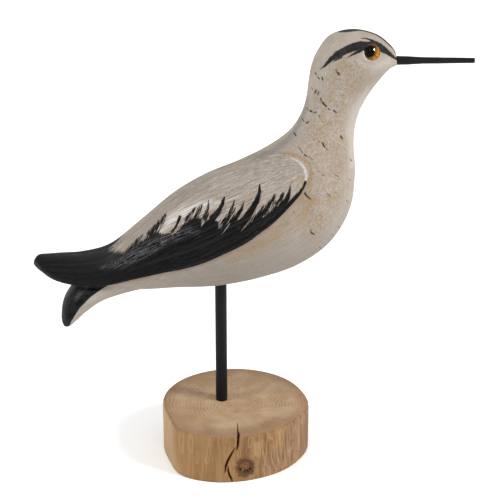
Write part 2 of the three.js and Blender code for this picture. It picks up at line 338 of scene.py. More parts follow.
# The fibres of the side run straight up, and part to pass the knot and a small oval beside the crack
for centre_px, width, reach in passed_by_fibres:
    nearest = np.argmin(np.linalg.norm(seen - centre_px, axis=1) + np.where(on_side, 0, nowhere))
    aside, above = run - run[nearest], points[:, 2] - points[nearest, 2]
    parted = np.sqrt(aside**2 + (width * np.exp(-((above / reach) ** 2))) ** 2)
    run = run[nearest] + np.where(aside < 0, -parted, parted)
turn = run / slice_radius
put(log_slice, "fibre", np.column_stack([
    slice_radius * np.sin(turn), -slice_radius * np.cos(turn), points[:, 2]]))

# Patches of colour: a run of stretches in the photograph, half widths, where it is and how soft its edge is
slice_marks_px = {
    "bleached": ([(164, 405), (166, 450), (174, 472)], [8, 7, 5], on_side, 6),
    "mauve": ([(308, 400), (300, 438), (284, 455), (268, 462)], [13, 13, 9, 8], on_side, 5),
    "heart": ([(247, 428), (246.5, 442), (245.5, 458)], [3.0, 3.0, 4.5], on_side, 2.0),
    "oval": ([(257.0, 445), (257.6, 454)], [3.6, 3.4], on_side, 1.6),
    "sunny": ([(160, 420), (176, 470)], [24, 20], on_side, 14),
    "curly": ([(214, 443), (236, 444), (262, 452)], [8, 10, 12], on_side, 5),
    "smudge": ([(236, 392), (249, 388.6), (262, 391.6), (269, 397)], [1.2, 2.8, 2.4, 0.8], on_top, 1.6),
    # A painted shadow of the rod, on the top to its left
    "rod_shadow": ([(178, 392.5), (202, 391)], [2.5, 4], on_top, 4),
}
for name, (run_px, halves, where, soft) in slice_marks_px.items():
    put(log_slice, name, np.where(where, smooth(along_run(seen, run_px, halves), -soft, soft), 0))
from_eyelet = np.linalg.norm((seen - eyelet_px) / eyelet_size_px, axis=1)
put(log_slice, "eyelet", np.where(on_side, from_eyelet, 9))
put(log_slice, "sawn", smooth(np.abs(normals[:, 2]), 0.74, 0.97))


class Wire:
    """A socket in a node tree. Sums and products of wires and numbers add the Math nodes for them."""

    tree = None

    def __init__(self, socket):
        self.socket = socket

    @classmethod
    def node(cls, kind, settings=None, sockets=None, out=0):
        """Any other node: its settings first, then values or wires for its sockets."""
        made = cls.tree.nodes.new(kind)
        for name, value in (settings or {}).items():
            setattr(made, name, value)
        for name, value in (sockets or {}).items():
            if isinstance(value, Wire):
                cls.tree.links.new(value.socket, made.inputs[name])
            else:
                made.inputs[name].default_value = value
        return cls(made.outputs[out])

    @classmethod
    def math(cls, operation, *values):
        return cls.node("ShaderNodeMath", {"operation": operation}, dict(enumerate(values)))

    def __add__(self, other):
        return Wire.math("ADD", self, other)

    __radd__ = __add__

    def __sub__(self, other):
        return Wire.math("SUBTRACT", self, other)

    def __rsub__(self, other):
        return Wire.math("SUBTRACT", other, self)

    def __mul__(self, other):
        return Wire.math("MULTIPLY", self, other)

    __rmul__ = __mul__

    def __truediv__(self, other):
        return Wire.math("DIVIDE", self, other)

    def __pow__(self, other):
        return Wire.math("POWER", self, other)

    def least(self, other):
        return Wire.math("MINIMUM", self, other)

    def most(self, other):
        return Wire.math("MAXIMUM", self, other)

    def ramp(self, low, high):
        """0 below low, 1 above high, and smooth between."""
        settings = {"interpolation_type": "SMOOTHSTEP"}
        return Wire.node("ShaderNodeMapRange", settings, {0: self, 1: low, 2: high})


def number(name):
    """A number that a piece keeps for each vertex."""
    return Wire.node("ShaderNodeAttribute", {"attribute_name": name}, out=2)


def vector(name, scale=(1, 1, 1), turn=0.0):
    """A vector that a piece keeps for each vertex, turned about its third axis and stretched."""
    kept = Wire.node("ShaderNodeAttribute", {"attribute_name": name}, out=1)
    turned = Wire.node("ShaderNodeMapping", None, {"Vector": kept, "Rotation": (0, 0, radians(turn))})
    return Wire.node("ShaderNodeMapping", None, {"Vector": turned, "Scale": scale})


def on_piece(scale=(1, 1, 1)):
    """The place on the piece in millimetres, stretched along its axes."""
    at = Wire.node("ShaderNodeTexCoord", out=3)
    return Wire.node("ShaderNodeMapping", None, {"Vector": at, "Scale": [1000 * s for s in scale]})


def patches(place, size, detail=3.0, rough=0.5, bend=0.0):
    """Noise from 0 to 1 whose patches are about a size across, in the place's unit."""
    sockets = {"Vector": place, "Scale": 1 / size, "Detail": detail, "Roughness": rough, "Distortion": bend}
    return Wire.node("ShaderNodeTexNoise", None, sockets)


def colour(code):
    """A colour as seen on a screen, such as "b5977a", in linear light."""
    shares = [int(code[k:k + 2], 16) / 255 for k in (0, 2, 4)]
    return [s / 12.92 if s <= 0.04045 else ((s + 0.055) / 1.055) ** 2.4 for s in shares] + [1.0]


def cover(factor, below, above):
    """The colour below, covered by the one above as far as the factor says."""
    below = colour(below) if isinstance(below, str) else below
    above = colour(above) if isinstance(above, str) else above
    return Wire.node("ShaderNodeMix", {"data_type": "RGBA"}, {0: factor, 6: below, 7: above}, out=2)


def layered(below, layers):
    """A colour under layers of others, each with the factor that says how far it covers."""
    for factor, above in layers:
        below = cover(factor, below, above)
    return below


def bump(height, depth, under=None):
    """A surface roughened by a height from 0 to 1, a depth in millimetres deep."""
    sockets = {"Strength": 1.0, "Distance": depth / 1000, "Height": height}
    if under:
        sockets["Normal"] = under
    return Wire.node("ShaderNodeBump", None, sockets)


def new_material(name):
    """A new material, whose tree the wires that follow are drawn in, and its shader."""
    made = bpy.data.materials.new(name)
    made.use_nodes = True
    Wire.tree = made.node_tree
    return made, made.node_tree.nodes["Principled BSDF"]


def give(shader, **sockets):
    """Wires or plain values for the shader's sockets."""
    for name, value in sockets.items():
        socket = shader.inputs[name.replace("_", " ")]
        if isinstance(value, Wire):
            Wire.tree.links.new(value.socket, socket)
        else:
            socket.default_value = value


dry_wood, shader = new_material("dry_wood")
blotches = patches(on_piece(), 15.0, detail=5, rough=0.55)
warp = patches(on_piece((1, 1, 0.3)), 11.0, detail=3)
growth = number("growth") + 4.2 * warp - 2.1
ring = Wire.math("FRACT", growth / ring_width)
late = ring.ramp(0.2, 0.75) * (1 - ring.ramp(0.86, 1.0))
ring_strength = patches(on_piece(), 13.0, detail=4).ramp(0.44, 0.66) * 0.32 + 0.08
rays = patches(vector("ray"), 1.1, detail=3, rough=0.6)
flames = patches(vector("ray", (1, 1, 0.5)), 4.0, detail=3)
pores = patches(on_piece((1, 1, 0.25)), 0.5, detail=2)
sawn_colour = layered("a58c70", [
    (blotches.ramp(0.3, 0.7), "917657"),
    (flames.ramp(0.5, 0.7) * 0.3, "866b52"),
    (late * ring_strength, "775c44"),
    ((1 - ring.ramp(0.0, 0.25)) * ring_strength * 0.6, "b39c82"),
    (rays.ramp(0.5, 0.75) * 0.25, "775e47"),
    (pores.ramp(0.6, 0.75) * 0.25, "6d5540"),
    ((1 - growth.ramp(0.5, 6.0)) * 0.5, "825840"),
    (number("smudge") * 0.45, "6d5c4b"),
    # Painted shadow of the rod on the top
    (number("rod_shadow") * 0.35, "74684b"),
    (growth.ramp(38.0, 50.0) * 0.75, "7d5f45"),
    (number("check").ramp(-0.35, 0.15) * 0.55, "604a37"),
])

fibres = patches(vector("fibre", (1, 1, 0.04)), 1.0, detail=5, rough=0.62)
streaks = patches(vector("fibre", (1, 1, 0.06)), 6.0, detail=4)
thin_streaks = patches(vector("fibre", (1, 1, 0.03)), 2.2, detail=3)
clouds = patches(on_piece((1, 1, 0.7)), 9.0, detail=4)
field = patches(vector("fibre", (1, 1, 0.55)), 8.0, detail=2, rough=0.4)
contour = Wire.math("SINE", field * 75.0) * 0.5 + 0.5
near_eyelet = 1 - number("eyelet").ramp(0.9, 1.5)
eyelet_line = Wire.math("SINE", (number("eyelet") + 0.25 * clouds) * 15.0) * 0.5 + 0.5
# Painted shade in the furrows of the side, and a painted highlight on the ridges between them
furrow_shade = (1 - number("furrow").ramp(-0.5, -0.12)) + number("furrow").ramp(0.2, 0.5)
ridge_highlight = (number("furrow") + 0.1).ramp(0.02, 0.1) * (1 - (number("furrow") + 0.1).ramp(0.12, 0.22))
# The grooves of the side are painted darker inside, as painted shade, with a lighter margin beside them as
# painted highlight
groove_shade_and_highlight = number("groove") + (fibres - 0.5) * 1.6 + (clouds - 0.5) * 1.2
side_colour = layered("7c5b37", [
    (streaks.ramp(0.35, 0.65), "8a6941"),
    (clouds.ramp(0.42, 0.66) * 0.5, "86694a"),
    (number("sunny") * thin_streaks.ramp(0.3, 0.7) * 0.45, "a0764a"),
    (number("sunny") * (1 - thin_streaks.ramp(0.3, 0.48)) * 0.3, "8a6139"),
    (fibres.ramp(0.5, 0.72) * 0.5, "65492c"),
    ((1 - fibres.ramp(0.3, 0.46)) * 0.4, "a1845f"),
    (near_eyelet * eyelet_line.ramp(0.7, 0.95) * fibres * 0.9, "5f452c"),
    (number("curly") * contour.ramp(0.8, 0.96) * 0.3, "5f452c"),
    (number("bleached") * 0.8, "a58b68"),
    (number("mauve") * (0.45 + 0.4 * thin_streaks), "6b5143"),
    # Painted shade in the furrows and painted highlight on their ridges
    (furrow_shade * (0.1 + 0.42 * number("furrowed")), "5a4029"),
    (ridge_highlight * (0.08 + 0.24 * number("furrowed")), "b0906a"),
    (number("oval") * 0.5, "9a7f5d"),
    (number("heart") * (fibres * 0.9 + 0.3), "64432a"),
    # Painted highlight beside each groove, and painted shade inside it
    ((groove_shade_and_highlight + 1.0).ramp(-0.8, 0.2) * 0.3, "a4845c"),
    (groove_shade_and_highlight.ramp(-0.25, 0.35) * 0.5, "4f3823"),
])
knot_grain = number("knot") + 7.0 * patches(on_piece(), 3.2, detail=5, rough=0.65) - 3.5
knot_ring = Wire.math("SINE", knot_grain * 3.4 + 3.5 * clouds) * 0.5 + 0.5
wood_colour = layered(side_colour, [
    (number("sawn"), sawn_colour),
    # Painted shade along the front of the sawn top
    (number("rim") * (0.3 + 0.25 * blotches), "6b5037"),
    ((1 - knot_grain.ramp(5.6, 8.4)) * 0.6, "664223"),
    ((1 - knot_grain.ramp(5.4, 6.6)) * 0.8, "4a2b13"),
    ((1 - knot_grain.ramp(2.2, 3.8)) * 0.8, "76502d"),
    ((1 - knot_grain.ramp(4.6, 6.8)) * knot_ring.ramp(0.5, 0.9) * 0.6, "34200f"),
    (number("hole") * 0.9, "1d0f07"),
    (number("crack").ramp(-0.5, 0.1) * 0.8, "6f3e18"),
    (number("crack").ramp(0.1, 0.5), "7a3c12"),
])
relief = fibres * (1 - number("sawn")) + late * number("sawn") * 0.3 + rays * number("sawn") * 0.3
give(
    shader, Base_Color=wood_colour, Roughness=0.8, Specular_IOR_Level=0.3,
    Normal=bump(pores, 0.14, bump(relief, 0.6)),
)
log_slice.data.materials.append(dry_wood)
log_slice.data.shade_smooth()
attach(log_slice, "root")
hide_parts("base")


# The rod is 8 mm stock, painted matt black. Its lower end is set in the slice, and the bird is pushed down
# on its upper end, so it can still be lifted off.
rod_low, rod_high = (np.array(corner) * 1000 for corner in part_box("rod"))
rod_radius = (rod_high[0] - rod_low[0]) / 2
rod_middle = (rod_low + rod_high) / 2
rod_chamfer = 0.8


def peg_tree():
    """A round peg along Z: a set-in part, a taper, rounded ends and an uneven hand-worked surface."""
    tree = bpy.data.node_groups.new("peg", "GeometryNodeTree")
    named = {
        "Length": 0.1, "Set-in length": 0.0, "Set-in radius": 0.002, "Root radius": 0.004,
        "Root flare": 0.0, "Tip radius": 0.004, "End rounding": 0.001, "Unevenness": 0.0001,
    }
    for name, value in named.items():
        socket = tree.interface.new_socket(name, in_out="INPUT", socket_type="NodeSocketFloat")
        socket.default_value = value
    tree.interface.new_socket("Material", in_out="INPUT", socket_type="NodeSocketMaterial")
    tree.interface.new_socket("Peg", in_out="OUTPUT", socket_type="NodeSocketGeometry")
    Wire.tree = tree
    inputs = tree.nodes.new("NodeGroupInput")
    given = {socket.name: Wire(socket) for socket in inputs.outputs if socket.name}
    top = Wire.node("ShaderNodeCombineXYZ", None, {"Z": given["Length"]})
    line = Wire.node("GeometryNodeCurvePrimitiveLine", None, {"End": top})
    line = Wire.node("GeometryNodeResampleCurve", None, {"Curve": line, "Count": 300})
    along = Wire.node("GeometryNodeSplineParameter", out=1)
    share = (along - given["Set-in length"]) / (given["Length"] - given["Set-in length"])
    taper = given["Root radius"] + share * (given["Tip radius"] - given["Root radius"])
    taper = taper + given["Root flare"] * (1 - share.ramp(0.12, 0.36))
    set_in = Wire.math("LESS_THAN", along, given["Set-in length"])
    radius = set_in * given["Set-in radius"] + (1 - set_in) * taper
    to_end = (along.least(given["Length"] - along) / given["End rounding"]).least(1.0).most(0.0)
    rounding = given["End rounding"] * (1 - (1 - (1 - to_end) ** 2) ** 0.5)
    circle = Wire.node("GeometryNodeCurvePrimitiveCircle", None, {"Resolution": 64, "Radius": 1.0})
    peg = Wire.node("GeometryNodeCurveToMesh", None, {
        "Curve": line, "Profile Curve": circle, "Scale": radius - rounding, "Fill Caps": True})
    wave = Wire.node("ShaderNodeTexNoise", None, {"Scale": 90.0, "Detail": 3.0})
    normal = Wire.node("GeometryNodeInputNormal")
    push = Wire.node("ShaderNodeVectorMath", {"operation": "SCALE"}, {
        0: normal, "Scale": (wave - 0.5) * given["Unevenness"] * 2})
    peg = Wire.node("GeometryNodeSetPosition", None, {"Geometry": peg, "Offset": push})
    peg = Wire.node("GeometryNodeRealizeInstances", None, {"Geometry": peg})
    peg = Wire.node("GeometryNodeSetMaterial", None, {"Geometry": peg, "Material": given["Material"]})
    output = tree.nodes.new("NodeGroupOutput")
    tree.links.new(peg.socket, output.inputs["Peg"])
    return tree


peg = peg_tree()


def peg_piece(name, material, sizes):
    """A peg of the given sizes in millimetres, as a plain mesh along Z."""
    piece = mesh_object(name, [(0, 0, 0)], [])
    modifier = piece.modifiers.new("peg", "NODES")
    modifier.node_group = peg
    sockets = {item.name: item.identifier for item in peg.interface.items_tree if item.in_out == "INPUT"}
    for size_name, size in sizes.items():
        modifier[sockets[size_name]] = size / 1000
    modifier[sockets["Material"]] = material
    made = bpy.data.meshes.new_from_object(piece.evaluated_get(bpy.context.evaluated_depsgraph_get()))
    piece.modifiers.clear()
    piece.data = made
    made.shade_smooth()
    return piece


black_rod, shader = new_material("black_rod_paint")
lengthwise = patches(on_piece((1, 1, 0.04)), 1.2, detail=4)
specks = patches(on_piece(), 0.7, detail=2)
rod_colour = layered("0f0e0e", [
    (lengthwise.ramp(0.4, 0.7) * 0.5, "191817"),
    (specks.ramp(0.68, 0.78) * 0.5, "2c2927"),
])
give(
    shader, Base_Color=rod_colour, Roughness=0.45 + 0.12 * lengthwise, Specular_IOR_Level=0.12,
    Normal=bump(lengthwise, 0.12, bump(specks, 0.05)),
)
rod = peg_piece("rod_painted", black_rod, {
    "Length": rod_high[2] - rod_low[2], "Root radius": rod_radius, "Tip radius": rod_radius,
    "End rounding": rod_chamfer, "Unevenness": 0.04,
})
move(rod, places_of(rod)[0] + [rod_middle[0], rod_middle[1], rod_low[2]])
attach(rod, "root")
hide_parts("rod")


# The bird is carved from one block of wood, with its folded wings left standing a little proud and their tips
# cut free above the tail. It is painted pale grey over a tan stain, and black is brushed over the wings, the
# tail and a line through the eye. Holes take the rod, the bill and the two eyes.
table_unit = 2.4
rod_into_bird = 18.0
seat = np.array([rod_middle[0], rod_middle[1], rod_high[2] - rod_into_bird])
wing_relief = 2.3
wing_lip = 1.7
# Heights above the floor, for what is painted
wing_top, head_foot = 215, 240
neck_foot, neck_full = 192, 226
belly_full, belly_top = 145, 205
# Stations from the tail to the face, in the unit above and from the rod's seat: how far forward and up the
# back is, the same for the belly, half the width, and how square the section is
body_lines = [
    [-52.6, 6.4, -52.5, 5.8, 1.2, 2.0],
    [-51.1, 8.0, -50.4, 4.0, 3.6, 2.1],
    [-46.8, 7.8, -45.9, 1.6, 5.6, 2.2],
    [-39.0, 7.6, -38.5, 0.5, 7.4, 2.3],
    [-31.0, 9.65, -31.0, 0.45, 9.0, 2.3],
    [-22.5, 17.15, -22.0, -0.75, 10.8, 2.2],
    [-13.0, 25.8, -12.0, -0.2, 12.6, 2.2],
    [-4.0, 31.5, -1.0, 0.3, 13.7, 2.2],
    [5.5, 35.7, 10.5, 2.6, 14.0, 2.2],
    [13.5, 40.3, 21.6, 6.5, 13.2, 2.2],
    [18.9, 44.7, 30.5, 13.1, 11.6, 2.2],
    [21.9, 49.4, 35.8, 22.7, 9.6, 2.3],
    [23.35, 54.3, 37.05, 33.0, 7.9, 2.3],
    [23.9, 59.0, 36.45, 42.5, 6.7, 2.3],
    [24.6, 63.4, 37.3, 49.5, 6.5, 2.2],
    [26.3, 67.75, 39.8, 55.2, 7.0, 2.1],
    [29.6, 71.8, 42.75, 59.6, 7.4, 2.1],
    [35.5, 73.2, 45.0, 62.4, 7.0, 2.1],
    [41.5, 72.0, 46.2, 63.3, 5.3, 2.1],
    [45.4, 69.3, 47.0, 63.5, 3.3, 2.0],
    [47.1, 67.1, 47.4, 63.4, 2.0, 2.0],
]
# The same for the tail, which hangs below the wings
tail_lines = [
    [-20.0, 8.0, -19.0, -0.3, 7.0, 2.2],
    [-28.0, 5.3, -26.6, -1.8, 8.0, 2.2],
    [-34.0, 3.0, -33.0, -4.1, 8.1, 2.3],
    [-40.2, 0.4, -37.8, -7.8, 7.8, 2.4],
    [-44.3, -4.6, -40.7, -10.8, 6.8, 2.4],
    [-45.3, -9.4, -42.3, -12.3, 5.4, 2.3],
    [-45.0, -11.7, -43.2, -12.6, 4.2, 2.1],
]
# Where a wing's edges lie: a station of the body, and degrees from the top down its side
wing_upper_edge = [
    [0.9, 60], [2.0, 22], [3.3, 12], [4.7, 8], [6.2, 7], [7.5, 8],
    [8.5, 12], [9.15, 22], [9.7, 35], [10.1, 49], [10.33, 60], [10.4, 66],
]
wing_lower_edge = [
    [0.9, 100], [2.0, 124], [3.3, 121], [4.7, 102.5], [6.2, 104.5], [7.5, 95.5],
    [8.5, 87.5], [9.2, 81.5], [9.8, 77.5], [10.12, 74], [10.33, 71], [10.4, 68],
]
eye_station, eye_angle = 17.26, 80.0
eye_sink = 0.5
eye_shift = [-0.4, 0, 0.7]
eye_radius = 5.3
eye_seat = 3.2
bill_height = 64.9
bill_hole_depth, bill_hole_radius = 12.3, 2.1
hole_gap = 0.3
eye_gap = 0.04
lid_height, lid_gap, lid_width = 0.3, 0.3, 0.55
wing_root_depth = 3
voxel = 1.0
painted_middle = 3.0

# Black areas and brush strokes, as outlines and as runs from tip to root with half widths
wing_black_px = [
    (304.8, 181.0), (302.8, 187.2), (298.7, 191.8), (294.5, 196.3), (290.4, 200.5), (283.5, 207.6),
    (280, 205), (276, 206), (271.4, 210.4), (264.8, 217.4), (262, 213), (258, 216), (252.6, 220.4),
    (247.4, 225.6), (243, 218), (238, 220), (230.5, 225), (224.4, 230.6), (223.6, 224.6), (218.5, 229),
    (219, 222), (214, 219.5), (208.5, 220), (200.8, 227.2), (201, 220), (196, 217), (190, 219),
    (186, 223), (178, 230.6), (171, 233), (161.6, 234.8), (156, 229.5), (150.5, 234), (143.5, 241),
    (136.5, 244.6), (128, 252.8), (118.8, 252.4), (109.4, 251.6), (112, 248.6), (115.7, 245), (120.8, 240.9),
    (125.5, 235.8), (129.6, 229.8), (135.4, 223.2), (141.2, 217.4), (148, 211), (155, 203), (150, 200),
    (120, 225), (60, 235), (15, 245), (15, 335), (250, 335), (320, 260), (320, 186),
]
wing_strokes_px = [
    ([(290.5, 186.5), (289.1, 193), (287.4, 198.8), (283.5, 205), (278, 210)], [0.3, 1.2, 2.3, 3.4, 3.6]),
    ([(283.4, 192.6), (280.9, 198.4), (277.5, 204)], [0.2, 0.7, 1.2]),
    ([(274.8, 194.0), (272.4, 200.5), (268, 207.1), (262.5, 213.5), (256, 220)], [0.2, 1.3, 2.1, 2.8, 3.4]),
    ([(262.8, 207.4), (258.4, 213.8), (253, 221.4)], [0.2, 0.6, 0.9]),
    (
        [(259.7, 184.8), (259.4, 192.5), (256.6, 201.5), (251.6, 210), (245.8, 218.5), (239, 226)],
        [0.3, 1.7, 2.5, 2.9, 3.2, 4],
    ),
    (
        [(244.0, 201.6), (241.7, 209.6), (237.3, 215.4), (232.3, 222), (226.5, 227.8)],
        [0.2, 1.1, 1.9, 2.4, 3.0],
    ),
    ([(234.5, 200.2), (232.8, 208.8), (229.4, 216.2), (224.4, 222.6)], [0.2, 0.9, 1.7, 2.8]),
    ([(224.2, 197.4), (222.3, 205), (218.4, 212), (213, 218)], [0.3, 1.7, 2.4, 3.2]),
    ([(208.8, 200.2), (207.9, 209.6), (205, 217.9)], [0.2, 0.8, 1.4]),
    ([(201.6, 204.8), (198.8, 211.5), (195, 218)], [0.2, 0.8, 1.4]),
    ([(194.6, 208.8), (190.4, 214.4), (186.5, 220)], [0.2, 0.9, 1.4]),
    ([(179.7, 216), (176.4, 226), (172, 232)], [0.2, 0.75, 1.2]),
    ([(165.6, 214.4), (160.8, 221.6), (155.4, 228.4), (150, 234.5)], [0.3, 1.6, 2.2, 2.4]),
    ([(142.0, 235.6), (137.1, 241), (132.5, 246), (128, 252)], [0.2, 0.8, 1.1, 1.5]),
]
neck_foot_px = [
    (252, 140), (262, 151), (275, 152.5), (290, 156.5), (300, 161.5), (306, 169), (308.5, 182), (430, 182),
    (430, 0), (252, 0),
]
stroke_feet_px = [[118, 160, 200, 250, 300], [256, 236, 225, 221, 196]]
stroke_slant, stroke_bend = 0.72, 0.0115
wing_gaps_px = [
    ([(233.2, 213.2), (227.6, 221), (221.5, 229)], [1.0, 0.6, 0.2]),
    ([(224.4, 206), (220.8, 212.5), (217.2, 218.4)], [1.1, 0.9, 0.3]),
    ([(229.5, 223.5), (226, 229), (221.5, 235)], [0.6, 0.5, 0.1]),
    ([(251, 218.5), (246.6, 225), (241.5, 230.6)], [0.9, 0.7, 0.2]),
    ([(208.4, 217.6), (204.6, 222.4), (200.8, 227)], [1.1, 0.8, 0.3]),
    ([(176.5, 231.5), (172, 234), (168, 236.2)], [0.8, 0.7, 0.2]),
]
tail_black_px = [
    (130, 279.2), (124, 280.4), (109.6, 284.4), (101.6, 289.2), (90.4, 297.2), (79.2, 308.6), (71.4, 321.2),
    (66.5, 334), (30, 334), (30, 257), (130, 257),
]
eye_stripe_px = [
    (
        [
            (320.4, 69.4), (325.5, 65), (331, 59), (338.5, 54), (346.5, 49.9), (354, 46.9), (361, 45.8),
            (369.4, 46.8),
        ],
        [0.2, 1.4, 2.3, 3.5, 4.0, 4.3, 4.7, 5.2],
    ),
    (
        [
            (360.4, 38.2), (365.5, 38.3), (370.2, 39.8), (374.4, 42.6), (379, 46.4), (383.4, 49.6),
            (388, 52.8), (392.4, 56.2), (396.5, 59.4),
        ],
        [0.2, 0.7, 1.0, 2.2, 3.7, 3.4, 2.4, 1.6, 1.2],
    ),
    ([(347.3, 57.8), (351, 55.5), (355.5, 53.1), (361, 50.4)], [0.2, 0.9, 1.3, 1.8]),
    ([(333.4, 51.9), (337, 51.2), (342, 49.8)], [0.15, 0.6, 1.0]),
    ([(332.6, 62.4), (336, 60), (341, 57.2)], [0.15, 0.8, 1.3]),
    ([(338, 32.0), (345, 30.6), (351, 29.8), (357, 29.7), (364, 30.3)], [0.3, 1.9, 2.0, 1.3, 0.5]),
]
# The stripe down the middle of the forehead: its place in the photograph, how far left of the middle it lies
# and half its width, both in millimetres, and how far back and down it is looked for
forehead_px = [
    (352, 29.8), (364, 30.3), (372, 32.8), (379.4, 36.6), (385.8, 41.4), (391.2, 47), (395, 52.2),
    (398.4, 57.4),
]
forehead_left = [1.8, 1.6, 1.2, 0.8, 0.2, 0.0, 0.0, 0.0]
forehead_halves = [0.2, 1.6, 1.9, 2.6, 3.2, 3.1, 3.0, 2.6]
forehead_back_px, forehead_down_px = 350, 6
# Small dashes of a nearly dry brush over the neck and breast: the two ends, the half width and how dark
flecks_px = [
    (315.2, 72.8, 316.4, 74.7, 0.6, 0.8), (317.9, 77.2, 319.4, 78.9, 0.6, 0.9),
    (322.1, 77.4, 322.8, 80.1, 0.6, 0.9), (326.0, 78.9, 327.5, 81.0, 0.5, 0.4),
    (335.6, 69.3, 337.4, 72.4, 0.5, 0.7), (337.5, 72.4, 339.3, 75.0, 0.9, 1.0),
    (311.4, 87.7, 313.0, 89.8, 0.5, 0.6), (316.0, 90.4, 314.9, 93.4, 0.7, 1.0),
    (318.7, 91.9, 317.9, 94.6, 0.6, 0.9), (322.5, 94.4, 322.9, 96.4, 0.5, 0.5),
    (320.6, 98.8, 321.8, 101.5, 0.7, 0.9), (322.9, 102.8, 326.3, 106.6, 0.9, 1.0),
    (328.3, 108.8, 329.8, 109.9, 0.6, 0.8), (333.6, 110.5, 335.1, 111.8, 0.8, 1.0),
    (335.9, 112.4, 337.4, 113, 0.5, 0.8), (306.5, 107.6, 308.4, 110.3, 0.5, 0.7),
    (310.3, 111.0, 311.8, 111.8, 0.8, 1.0), (314.1, 112.6, 316.4, 112.2, 0.6, 0.8),
    (318.7, 115.3, 319.8, 117.4, 0.5, 0.8), (322.5, 121.0, 323.3, 122.1, 0.6, 0.5),
    (326.0, 123.4, 329.0, 124.0, 0.5, 0.5), (302.2, 118.7, 304.1, 121.4, 0.5, 0.8),
    (306.5, 122.9, 308.4, 121.8, 0.7, 1.0), (294.4, 133.0, 296.0, 135.8, 0.6, 1.0),
    (340.9, 136.2, 342.4, 138.6, 0.8, 1.0), (335.9, 132.5, 337.4, 134.0, 0.4, 0.4),
    (298.7, 147.4, 302.8, 153.2, 0.45, 0.8), (304.5, 154.9, 307.0, 156.5, 0.7, 1.0),
    (308.6, 156.6, 312.8, 159.9, 0.45, 0.8), (313.6, 139.4, 314.6, 140, 0.5, 0.5),
    (318.6, 140.8, 319.4, 142.0, 0.6, 0.7), (322.7, 143.3, 324.4, 146.8, 0.8, 1.0),
    (325.2, 147.6, 327.7, 149.9, 0.5, 0.7), (316.1, 167.3, 316.9, 169.0, 0.6, 0.5),
    (317.7, 170.6, 323.6, 175.6, 0.4, 0.5), (322.6, 175, 323.8, 175.8, 0.6, 0.7),
    (304.9, 193.4, 306.6, 195.7, 0.9, 1.0), (306.6, 196.0, 310.3, 199.0, 0.7, 1.0),
    (310.3, 199.0, 312.8, 202.1, 0.4, 0.6), (326.9, 193.0, 330.4, 196.6, 0.5, 0.7),
    (292.9, 210.0, 294.5, 213.0, 0.5, 0.6), (294.5, 213.0, 296.8, 215.6, 0.4, 0.4),
    (310.7, 230.7, 311.5, 232.8, 0.6, 0.9), (311.5, 232.9, 314.0, 234.3, 0.8, 1.0),
    (320.2, 215.4, 323.6, 217.9, 0.5, 0.5), (326.3, 219.4, 327.2, 220.0, 0.6, 0.5),
    (300.2, 243.3, 301.3, 244.2, 0.6, 0.4), (319.4, 246.9, 321.0, 248.6, 0.6, 0.6),
    (331.8, 172.0, 335.4, 175.0, 0.5, 0.6), (336.4, 175.6, 338.2, 176.6, 0.6, 0.8),
    (338.3, 226.2, 340.0, 228.0, 0.6, 0.6), (350.4, 159.2, 351.8, 161.0, 0.6, 0.7),
    (349.4, 179.2, 350.8, 181.0, 0.5, 0.6), (346.4, 200.4, 348.0, 202.0, 0.6, 0.6),
    (332.4, 234.2, 334.0, 236.0, 0.6, 0.5), (344.0, 148.0, 345.4, 150.0, 0.5, 0.5),
    (338.0, 196.0, 340.0, 197.6, 0.5, 0.5),
]


def on_form(lines, station, degrees):
    """Points of a lofted form in millimetres from the seat. Degrees grow from the top down its right side."""
    row = spline(lines, np.asarray(station, float))
    high, low = row[..., 0:2], row[..., 2:4]
    angle = np.radians(degrees)
    down = np.sign(np.cos(angle)) * np.abs(np.cos(angle)) ** (2 / row[..., 5])
    out = np.sign(np.sin(angle)) * np.abs(np.sin(angle)) ** (2 / row[..., 5])
    line = (high + low) / 2 + (high - low) / 2 * down[..., None]
    return np.stack([line[..., 0], -row[..., 4] * out, line[..., 1]], -1) * table_unit


def outward(lines, station, degrees):
    """Outward directions of a lofted form."""
    along = on_form(lines, station + 0.02, degrees) - on_form(lines, station - 0.02, degrees)
    down = on_form(lines, station, degrees + 0.5) - on_form(lines, station, degrees - 0.5)
    normal = np.cross(down, along)
    return normal / np.linalg.norm(normal, axis=-1, keepdims=True)


def lofted(lines, steps, sides):
    """The closed form through a table of lines."""
    station = np.linspace(0, len(lines) - 1, (len(lines) - 1) * steps + 1)
    degrees = np.arange(sides) * 360 / sides
    return skin(on_form(lines, *np.meshgrid(station, degrees, indexing="ij")))


def lip(away):
    """The rounded edge of a wing, from 0 at its foot to 1."""
    return np.sqrt(1 - (1 - np.minimum(away / wing_lip, 1)) ** 2)


wing_steps, wing_rows = 16, 90
wing_run = np.linspace(0, len(wing_upper_edge) - 1, (len(wing_upper_edge) - 1) * wing_steps + 1)
wing_down = 1 - (1 - np.linspace(0, 1, wing_rows)) ** 1.4
wing_from, wing_to = spline(wing_upper_edge, wing_run), spline(wing_lower_edge, wing_run)
wing_place = wing_from[:, None] + (wing_to - wing_from)[:, None] * wing_down[None, :, None]
wing_on_body = on_form(body_lines, wing_place[..., 0], wing_place[..., 1])
wing_width = np.linalg.norm(np.diff(wing_on_body, axis=1), axis=2).sum(1)
wing_out = outward(body_lines, wing_place[..., 0], wing_place[..., 1])
along, down, width = (wing_run / wing_run[-1])[:, None], wing_down[None], wing_width[:, None]
# At the shoulder the wing rises by a lip all round, and behind it slowly from the middle of the back
faded = smooth(down, 0, 0.45) - 0.12 * (1 - down)
rise = faded + (lip(down * width) - faded) * smooth(along, 0.62, 0.86)
wing_height = wing_relief * smooth(along, -0.15, 0.3) * rise * lip((1 - down) * width)
wing_grid = wing_on_body + wing_out * wing_height[..., None]
